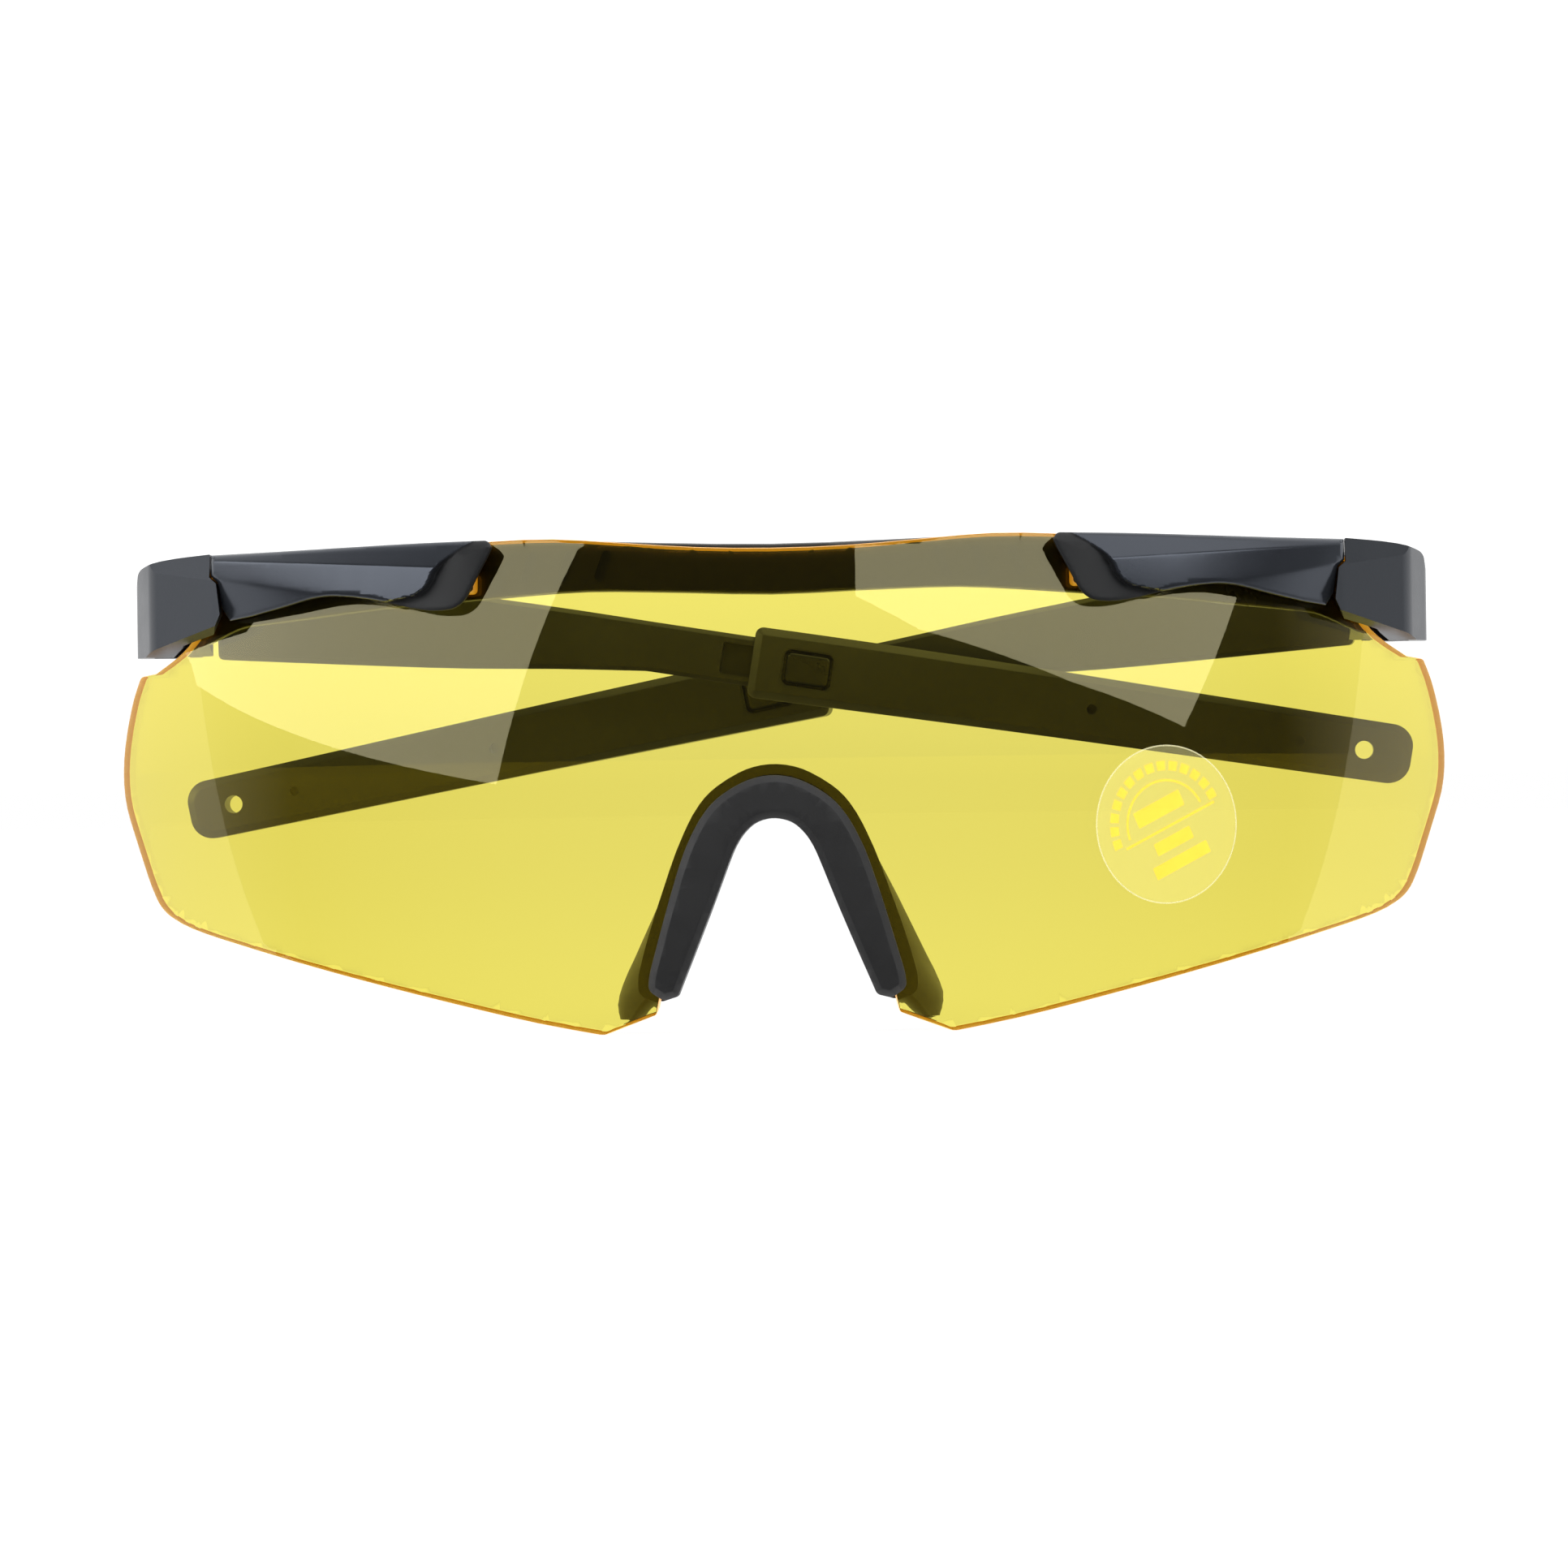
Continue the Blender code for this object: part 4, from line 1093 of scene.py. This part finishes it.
# ---- the nose piece -------------------------------------------------------------------
@dataclass
class NosePiece:
    """The soft V that grips the lens over the nose, and the two pads behind it."""

    bench: Bench
    curve: LensCurve
    lens: ShieldLens
    gap: float = 0.3
    front: float = 1.3
    back: float = 1.5
    pad_thick: float = 2.1
    pad_deep: float = 10.0
    pad_bow: tuple[float, float] = (0.9, -0.4)
    pad_steps: int = 16
    lip: float = 0.9
    lip_steps: int = 6
    pad_line: tuple[tuple[float, float, float, float], ...] = (
        (20.9, 4.1, 9.6, 0.55), (20.2, 4.4, 10.1, 0.76), (18.6, 5.0, 10.9, 0.90),
        (16.8, 5.7, 11.8, 0.97), (15.0, 6.4, 12.7, 1.0), (13.3, 7.1, 13.5, 1.0),
        (11.6, 7.8, 14.3, 1.0), (9.9, 8.45, 15.1, 1.0), (8.2, 9.1, 15.9, 1.0),
        (6.8, 9.65, 16.6, 0.98), (5.4, 10.8, 17.2, 0.94), (4.3, 12.0, 17.6, 0.87),
        (3.4, 12.9, 17.7, 0.78), (2.6, 13.6, 17.4, 0.66), (1.9, 14.3, 16.8, 0.5))

    def rim_outline(self) -> Loop:
        """The V's outline in front of the lens."""
        return soften(whole([(0, 28.0), (2.4, 27.6), (4.5, 26.6), (6.5, 25.2), (8.0, 23.3),
                             (9.7, 20.0), (11.0, 16.0), (12.0, 12.7), (13.0, 9.2), (13.8, 6.4),
                             (13.9, 4.9, 1.1), (12.3, 3.8, 1.0), (10.7, 4.2, 0.85), (10.05, 5.8),
                             (9.0, 8.3), (6.9, 13.4), (4.9, 18.6), (4.2, 20.3), (3.3, 21.7),
                             (2.0, 22.9), (0, 23.4)]))

    def back_outline(self) -> Loop:
        """The flange's outline behind the lens."""
        return soften(whole([(0, 29.2), (2.6, 28.8), (5.0, 27.6), (7.2, 26.0), (8.8, 23.8),
                             (10.6, 20.0), (12.0, 16.0), (13.2, 12.6), (14.2, 9.4), (15.0, 6.4),
                             (14.9, 4.6, 1.0), (12.6, 3.6, 0.9), (10.7, 4.2, 0.7), (10.05, 5.8),
                             (9.0, 8.3), (6.9, 13.4), (4.9, 18.6), (4.2, 20.3), (3.3, 21.7),
                             (2.0, 22.9), (0, 23.4)]))

    def bridge(self) -> bpy.types.Object:
        """The V with its groove for the edge of the lens."""
        behind = self.lens.thick + self.gap
        bridge = slab("nose_bridge_v", self.rim_outline(), -self.gap - self.front, behind + 0.4,
                      [(0.78, 0.0), (0.72, 0.03), (0.06, 0.55), (0.0, 0.66)])
        flange = slab("flange", self.back_outline(), behind, behind + self.back, None,
                      round_rim(0.5, 0.5, 3))
        pocket = slab("pocket", grown(self.lens.outline(), self.gap + 0.2), -self.gap, behind)
        fuse(bridge, flange)
        cut(bridge, pocket)
        split_large(bridge)
        slice_grid(bridge, 1.6, 1.6)
        move_points(bridge, self.curve.straight)
        return bridge

    def pad(self) -> bpy.types.Object:
        """The right pad: a wing that flares back and outward."""
        start = self.lens.thick + self.back + 2 * self.gap
        shares = [k / self.pad_steps for k in range(self.pad_steps + 1)]
        turns = [math.pi * k / self.lip_steps for k in range(1, self.lip_steps)]
        rings = []
        for z, inner, outer, share in self.pad_line:
            near = Vector((inner + self.pad_thick / 2 + self.gap,
                           self.curve.depth(inner, z)[0] + start + self.lip))
            far = Vector((outer - self.pad_thick / 2, near.y + self.pad_deep * share))
            along = (far - near).normalized()
            thin = 0.55 + 0.45 * min(1.0, (share - 0.5) / 0.4)
            across = Vector((along.y, -along.x)) * (self.pad_thick / 2 * thin)
            lip = along * (self.lip * thin)
            middle = [near + (far - near) * t + Vector(self.pad_bow) * math.sin(math.pi * t)
                      for t in shares]
            ring = [p + across for p in middle]
            ring += [far + across * math.cos(t) + lip * math.sin(t) for t in turns]
            ring += [p - across for p in reversed(middle)]
            ring += [near - across * math.cos(t) - lip * math.sin(t) for t in turns]
            rings.append([(p.x, p.y, z) for p in ring])
        pad = skinned("nose_pad_wing_right", rings)
        bevel(pad, 0.45, 50.0, 4)
        return pad

    def build(self) -> None:
        """Build and dress the V and both pads."""
        rubber = SoftRubber()
        self.bench.finish(self.bridge(), rubber, "front", "nose_rubber", ("nose_bridge",))
        pad = self.pad()
        other = mirrored(pad, "nose_pad_wing_left")
        worn = SoftRubber("soft_rubber_pad", "#383632", "#45423c")
        self.bench.finish(pad, worn, "front", "nose_rubber", ("nose_pad_right",), smooth=50)
        self.bench.finish(other, worn, "front", "nose_rubber", ("nose_pad_left",), smooth=50)


# ---- the arms -------------------------------------------------------------------------
@dataclass
class FoldingArm:
    """One arm: a front piece on the hinge, a sleeve that slides on its blade, and a button."""

    bench: Bench
    side: Side
    droop: float = math.radians(10.3)
    outset: float = 5.5
    thick: float = 3.2
    blade_thick: float = 2.6
    blade_from: float = 52.0
    blade_to: float = 80.0
    butt: float = 3.5
    sleeve_from: float = 63.5
    sleeve_thick: float = 4.7
    tip_thick: float = 3.0
    tip_end: float = 136.7
    tip_sag: float = 0.8
    slide: float = 6.0
    button_at: float = 69.8
    button_line: float = -0.35
    button_long: float = 4.9
    button_high: float = 3.4
    knuckle: float = 2.3
    knuckle_high: float = 3.8
    knuckle_drop: float = 3.6
    bore: float = 1.0
    groove_half: float = 1.75
    notch_radius: float = 0.42
    flange_half: float = 3.3
    strap_hole: float = 1.0

    @property
    def mid(self) -> float:
        """Offset of the middle of the arm's thickness behind the hinge axis."""
        return self.outset - self.thick / 2

    def place(self, drooped: bool) -> Matrix:
        """Where the arm's drawing sits.

        Args:
            drooped: Whether X runs down the middle of the arm, or square to the hinge axis.

        Returns:
            The placing matrix, in metres.
        """
        word = self.side.word
        hinge = joint(f"hinge_{word}")
        y = Vector(joint(f"press_{word}")["axis"]).normalized()
        if drooped:
            x = Vector(joint(f"length_{word}")["axis"]).normalized() * -self.side.value
            z = x.cross(y).normalized()
        else:
            z = Vector(hinge["axis"]).normalized()
            if z.z < 0:
                z.negate()
            x = y.cross(z).normalized()
        turn = Matrix((x, y, z)).transposed().to_4x4()
        return Matrix.Translation(hinge["pos_m"]) @ turn

    def settle(self, obj: bpy.types.Object, name: str) -> bpy.types.Object:
        """Name a left-hand piece, mirroring it if this is the right arm."""
        name = f"{name}_{self.side.word}"
        if self.side is Side.RIGHT:
            other = mirrored(obj, name)
            bpy.data.objects.remove(obj, do_unlink=True)
            return other
        obj.name = name
        return obj

    def front_piece(self) -> bpy.types.Object:
        """The front of the arm with its knuckle, and the blade the sleeve slides on."""
        def butt_at(w: float) -> float:
            return (self.butt - w * math.sin(self.droop)) / math.cos(self.droop)
        line = soften([(butt_at(1.3), 1.3, 1.2), (16.0, 1.85), (32.6, 2.35), (44.0, 2.45),
                       (self.blade_from, 2.4, 4.0), (64.0, 2.4, 0), (64.4, 2.0, 0),
                       (self.blade_to, 2.0, 1.1), (self.blade_to, -2.7, 1.1), (64.4, -2.7, 0),
                       (64.0, -3.1, 0), (self.blade_from, -3.1, 6.0), (42.0, -4.35),
                       (32.6, -5.8), (18.0, -7.5), (butt_at(-8.9), -8.9, 0.6)])
        rim = [(0.5, 0.0), (0.44, 0.03), (0.07, 0.30), (0.0, 0.38)]
        arm = slab("arm", line, self.mid - self.thick / 2, self.mid + self.thick / 2, rim, rim)
        slice_grid(arm, 2.0, 20.0)

        def thinner(x: float, y: float, z: float) -> Vector:
            share = min(1.0, max(0.0, (x - 44) / (self.blade_from - 44)))
            share = share * share * (3 - 2 * share)
            thick = self.thick + (self.blade_thick - self.thick) * share
            return Vector((x, self.mid + (y - self.mid) * thick / self.thick, z))
        move_points(arm, thinner)
        near = self.mid - self.blade_thick / 2
        first = self.button_at - 3.4 - self.slide - 0.3
        loop = rounded_box(first, self.blade_to + 2, self.button_line - self.groove_half,
                           self.button_line + self.groove_half, 0.3)
        groove = slab("groove", loop, near - 1, near + 1.7)
        cut(arm, groove)
        for k in range(3):
            at = disc(self.button_at + 2.4 - k * self.slide / 2,
                      self.button_line - self.groove_half, self.notch_radius, 24)
            cut(arm, slab("notch", at, near - 1, near + 1.2))
        arm.data.transform(Matrix.Rotation(self.droop, 4, "Y"))
        low = -self.knuckle_drop - self.knuckle_high / 2
        high = low + self.knuckle_high
        inner = self.mid - self.thick / 2
        web = soften([(0, -2.0, 0), (5.0, -2.0, 1.2), (8.0, inner - 0.2, 0.3),
                      (8.0, inner + 0.9, 0),
                      (4.1, inner + 0.9, 0), (4.1, inner - 0.02, 0), (0, inner - 0.02, 0)])
        fuse(arm, column("web", web, low, high))
        fuse(arm, column("knuckle", disc(0, 0, self.knuckle, 40), low, high))
        cut(arm, column("bore", disc(0, 0, self.bore, 32), low - 1, high + 1))
        return arm

    def tip(self) -> bpy.types.Object:
        """The sleeve and flat tip, with the button's window and the strap hole."""
        line = soften([(self.sleeve_from, 3.6, 0.9), (79.0, 3.75), (98.0, 3.65), (118.0, 3.45),
                       (self.tip_end, 3.25, 2.4), (self.tip_end, -3.25, 2.4), (118.0, -3.45),
                       (98.0, -3.65), (79.0, -4.0), (self.sleeve_from, -4.3, 0.9)])
        rim = [(0.85, 0.0), (0.75, 0.05), (0.14, 0.50), (0.0, 0.65)]
        tip = slab("tip", line, self.mid - self.sleeve_thick / 2, self.mid + self.sleeve_thick / 2,
                   rim, rim)
        slice_grid(tip, 2.0, 20.0)

        def taper(x: float, y: float, z: float) -> Vector:
            share = min(1.0, max(0.0, (x - 88) / 12))
            share = share * share * (3 - 2 * share)
            thick = self.sleeve_thick + (self.tip_thick - self.sleeve_thick) * share
            past = max(0.0, (x - 100) / (self.tip_end - 100))
            return Vector((x, self.mid + (y - self.mid) * thick / self.sleeve_thick
                           - self.tip_sag * past * past, z))
        move_points(tip, taper)
        half = self.blade_thick / 2 + 0.25
        inner = self.mid - self.sleeve_thick / 2
        for u0, u1, w0, w1 in ((self.sleeve_from - 2, 64.4 + self.slide + 0.5, -3.3, 2.6),
                               (self.sleeve_from, self.blade_to + self.slide + 0.6, -2.9, 2.2)):
            cut(tip, slab("channel", rounded_box(u0, u1, w0, w1, 0.2), self.mid - half,
                          self.mid + half))
        long, high = self.button_long / 2 + 0.3, self.button_high / 2 + 0.3
        window = rounded_box(self.button_at - long, self.button_at + long, self.button_line - high,
                             self.button_line + high, 0.8)
        cut(tip, slab("window", window, inner - 1, self.mid))
        cut(tip, slab("flare", grown(window, 0.18), inner - 1, inner + 0.12))
        for at, radius, deep in ((self.tip_end - 5.1, self.strap_hole, 12.0), (101.5, 0.55, 2.1)):
            cut(tip, slab("hole", disc(at, 0, radius, 40), inner - 2, inner + deep))
        floor = self.mid - self.tip_thick / 2
        cut(tip, slab("dimple", disc(self.tip_end - 12.1, 0, 0.5, 24), floor - 2, floor + 0.05))
        return tip

    def button(self) -> bpy.types.Object:
        """The push button in the sleeve's window, with three grip ridges."""
        inner = self.mid - self.sleeve_thick / 2
        near = self.mid - self.blade_thick / 2
        cap = rounded_box(self.button_at - self.button_long / 2,
                          self.button_at + self.button_long / 2,
                          self.button_line - self.button_high / 2,
                          self.button_line + self.button_high / 2, 0.6)
        button = slab("button", cap, inner + 0.1, near - 0.05, round_rim(0.4, 0.3, 4))
        flange = rounded_box(self.button_at - self.flange_half,
                             self.button_at + self.flange_half, self.button_line - 1.45,
                             self.button_line + 1.45, 0.3)
        neck = rounded_box(self.button_at - 2.1, self.button_at + 2.1, self.button_line - 1.3,
                           self.button_line + 1.3, 0.3)
        fuse(button, slab("neck", neck, inner + 0.5, near + 0.3))
        fuse(button, slab("flange", flange, near + 0.1, near + 0.6))
        return button

    def build(self) -> None:
        """Build and dress the arm, its tip and its button."""
        word = self.side.word
        arm_finish = MouldedPlastic("moulded_nylon_arm", "#1c1c1c", "#262626", 0.38)
        # painted light: the tip's nylon is drawn lighter than the arm's to stand in for light
        # reaching it from behind the lens
        tip_finish_painted_light = MouldedPlastic("moulded_nylon_tip", "#262624", "#31312e", 0.44, 0.10, 0.40,
                                    0.016)
        button_finish = MouldedPlastic("moulded_nylon_button", "#101011", "#19191a", 0.26, 0.08,
                                       0.4, 0.004)
        arm = self.settle(self.front_piece(), "arm_front")
        self.bench.finish(arm, arm_finish, f"arm_{word}", "arm_nylon", (f"arm_{word}",),
                          self.place(False), 26)
        tip = self.settle(self.tip(), "arm_tip")
        self.bench.finish(tip, tip_finish_painted_light, f"tip_{word}", "tip_nylon", (f"tip_{word}",),
                          self.place(True), 26)
        button = self.settle(self.button(), "length_button_cap")
        self.bench.finish(button, button_finish, f"button_{word}", "button_nylon",
                          (f"length_button_{word}",), self.place(True), 30)


@dataclass
class SmallMetal:
    """Hinge pins and button springs: the model's own meshes in a metal finish."""

    bench: Bench

    def build(self) -> None:
        """Dress the metal nodes."""
        steel = self.bench.dress(DrawnSteel())
        for name in ("hinge_pin_left", "hinge_pin_right", "button_spring_left",
                     "button_spring_right"):
            node = frame["nodes"][name]
            node.data.materials.clear()
            node.data.materials.append(steel)
            LOG.info("%s dressed", name)


# ---- the studio -----------------------------------------------------------------------
@dataclass
class Studio:
    """White room, soft panels in front, at the sides and overhead, and the camera."""

    curve: LensCurve
    apex_y: float
    distance: float = 1.0
    eye_high: float = 0.0268
    focal: float = 214.4
    roll: float = math.radians(-0.8)
    dark_side: float = 0.075
    back_side: float = 1.5
    floor_size: float = 6.0
    floor_shade: float = 0.12
    floor_glow: float = 0.93
    front_strength: float = 3.9
    side_strength: float = 1.5
    overhead_strength: float = 2.0
    yaw: float = math.radians(1.6)
    turn_deep: float = 0.040
    panel_far: float = 1.3

    def room(self) -> None:
        """Light from all round: bright behind the glasses, dim in front of them."""
        world = bpy.data.worlds.new("white_room")
        bpy.context.scene.world = world
        world.use_nodes = True
        tree = world.node_tree
        tree.nodes.clear()
        where = add_node(tree, "ShaderNodeTexCoord")
        parts = add_node(tree, "ShaderNodeSeparateXYZ", None,
                         {"Vector": where.outputs["Generated"]})
        back = add_node(tree, "ShaderNodeMapRange",
                        {"From Min": -0.25, "From Max": 0.35, "To Min": self.dark_side,
                         "To Max": self.back_side},
                        {"Value": parts.outputs["Y"]})
        backdrop = add_node(tree, "ShaderNodeMapRange",
                            {"From Min": 0.0, "From Max": 0.025, "To Min": 1.0, "To Max": 1.22},
                            {"Value": parts.outputs["Z"]})
        path = add_node(tree, "ShaderNodeLightPath")
        # the room looks white straight on and through the lens, but lights only from behind
        bounces = add_node(tree, "ShaderNodeMath", {"operation": "ADD"})
        tree.links.new(path.outputs["Diffuse Depth"], bounces.inputs[0])
        tree.links.new(path.outputs["Glossy Depth"], bounces.inputs[1])
        direct = add_node(tree, "ShaderNodeMath", {"operation": "LESS_THAN"})
        tree.links.new(bounces.outputs["Value"], direct.inputs[0])
        direct.inputs[1].default_value = 0.5
        level = add_node(tree, "ShaderNodeMix", {"data_type": "FLOAT"},
                         {"Factor": direct.outputs["Value"], "A": back.outputs["Result"],
                          "B": backdrop.outputs["Result"]})
        glow = add_node(tree, "ShaderNodeBackground", {"Color": (1.0, 1.0, 1.0, 1.0)},
                        {"Strength": level.outputs["Result"]})
        add_node(tree, "ShaderNodeOutputWorld", None, {"Surface": glow.outputs["Background"]})

    def floor(self) -> None:
        """A plain white floor under the glasses."""
        size = self.floor_size
        floor = self.sheet("floor", [(-size, -size, 0.0), (size, -size, 0.0), (size, size, 0.0),
                                     (-size, size, 0.0)])
        made = bpy.data.materials.new("white_floor")
        made.use_nodes = True
        shader = made.node_tree.nodes["Principled BSDF"]
        shader.inputs["Base Color"].default_value = (*[self.floor_shade] * 3, 1.0)
        shader.inputs["Roughness"].default_value = 0.9
        shader.inputs["Specular IOR Level"].default_value = 0.0
        shader.inputs["Emission Color"].default_value = (1.0, 1.0, 1.0, 1.0)
        shader.inputs["Emission Strength"].default_value = self.floor_glow
        floor.data.materials.append(made)
        floor.visible_glossy = False

    def eye(self) -> Vector:
        """Where the camera stands, a little to one side of the glasses."""
        reach = self.distance + self.turn_deep
        return Vector((reach * math.sin(self.yaw),
                       self.apex_y + self.turn_deep - reach * math.cos(self.yaw), self.eye_high))

    def mirror_point(self, x: float, z: float) -> Vector:
        """Where a panel must be for the eye to see it reflected at a point of the lens.

        Args:
            x: Across the lens, in millimetres.
            z: Up the lens, in millimetres.

        Returns:
            The point, in metres, in the row frame.
        """
        depth, across, up = self.curve.depth(x, z)
        at = Vector((x * MM, self.apex_y + depth * MM, z * MM))
        normal = Vector((across, -1.0, up)).normalized()
        ray = (at - self.eye()).normalized()
        out = ray - 2 * ray.dot(normal) * normal
        return at + out * self.panel_far

    def panel(self, name: str, corners: list[tuple[float, float]], strength: float) -> None:
        """A glowing panel whose reflection fills a patch of the lens.

        Args:
            name: The panel's name.
            corners: The patch's corners on the lens, in millimetres.
            strength: Brightness of the panel.
        """
        panel = self.sheet(name, [self.mirror_point(x, z) for x, z in corners])
        panel.data.materials.append(self.glow(name, strength))
        self.hide_panel(panel)

    @staticmethod
    def sheet(name: str, corners: list[tuple[float, float, float] | Vector]) -> bpy.types.Object:
        """A single flat face."""
        bm = bmesh.new()
        bm.faces.new([bm.verts.new(p) for p in corners])
        return link_mesh(name, bm)

    @staticmethod
    def glow(name: str, strength: float) -> bpy.types.Material:
        """A plain glowing material."""
        made = bpy.data.materials.new(name)
        made.use_nodes = True
        tree = made.node_tree
        tree.nodes.clear()
        glow = add_node(tree, "ShaderNodeEmission",
                        {"Color": (1.0, 1.0, 1.0, 1.0), "Strength": strength})
        add_node(tree, "ShaderNodeOutputMaterial", None, {"Surface": glow.outputs["Emission"]})
        return made

    @staticmethod
    def hide_panel(panel: bpy.types.Object) -> None:
        """Keep a panel out of sight, apart from its light and its reflections."""
        panel.visible_camera = False
        panel.visible_shadow = False
        panel.visible_transmission = False

    def overhead(self) -> None:
        """A soft panel above and in front, too high for the lens to reflect."""
        panel = self.sheet("soft_panel_overhead", [(-0.6, -0.9, 1.3), (1.3, -0.9, 1.2),
                                                   (1.3, 0.1, 1.4), (-0.6, 0.1, 1.5)])
        panel.data.materials.append(self.glow("soft_panel_overhead", self.overhead_strength))
        self.hide_panel(panel)

    def camera(self) -> None:
        """The camera, level with the middle of the lens."""
        data = bpy.data.cameras.new("camera")
        data.lens = self.focal
        data.sensor_width = 36.0
        made = bpy.data.objects.new("camera", data)
        bpy.context.scene.collection.objects.link(made)
        turn = (Matrix.Rotation(self.yaw, 4, "Z") @ Matrix.Rotation(math.radians(90), 4, "X")
                @ Matrix.Rotation(self.roll, 4, "Z"))
        made.matrix_world = Matrix.Translation(self.eye()) @ turn
        bpy.context.scene.camera = made

    def build(self) -> None:
        """Build the whole studio."""
        bpy.context.scene.view_settings.view_transform = "Standard"
        self.room()
        self.floor()
        self.panel("soft_panel_left", [(-20.0, 54.0), (-30.0, 27.3), (-49.3, 33.2), (-66.0, 40.0),
                                       (-66.0, 54.0)], self.front_strength)
        self.panel("soft_panel_right", [(9.0, 54.0), (9.0, 47.0), (15.8, 43.3), (32.0, 37.5),
                                        (44.2, 32.5), (50.4, 48.0), (52.6, 54.0)],
                   self.front_strength)
        for side in Side:
            self.panel(f"soft_panel_side_{side.word}",
                       [(side.value * x, z) for x, z in ((52.0, 2.0), (73.0, 2.0), (73.0, 46.0),
                                                         (64.5, 46.0))],
                       self.side_strength)
        self.overhead()
        self.camera()


def main() -> None:
    """Build every sub-assembly in order."""
    logging.basicConfig(level=logging.INFO, format="%(name)s: %(message)s")
    for name in ("Cube", "Light", "Camera"):
        if name in bpy.data.objects:
            bpy.data.objects.remove(bpy.data.objects[name], do_unlink=True)
    bench = Bench()
    curve = LensCurve()
    lens = ShieldLens(bench, curve)
    lens.build()
    ShapeSticker(bench, curve).build()
    for side in Side:
        LensClip(bench, curve).build(side)
    BrowFrame(bench, curve, lens).build()
    NosePiece(bench, curve, lens).build()
    for side in Side:
        FoldingArm(bench, side).build()
    SmallMetal(bench).build()
    Studio(curve, float(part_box("lens")[0][1])).build()


if __name__ == "__main__":
    main()
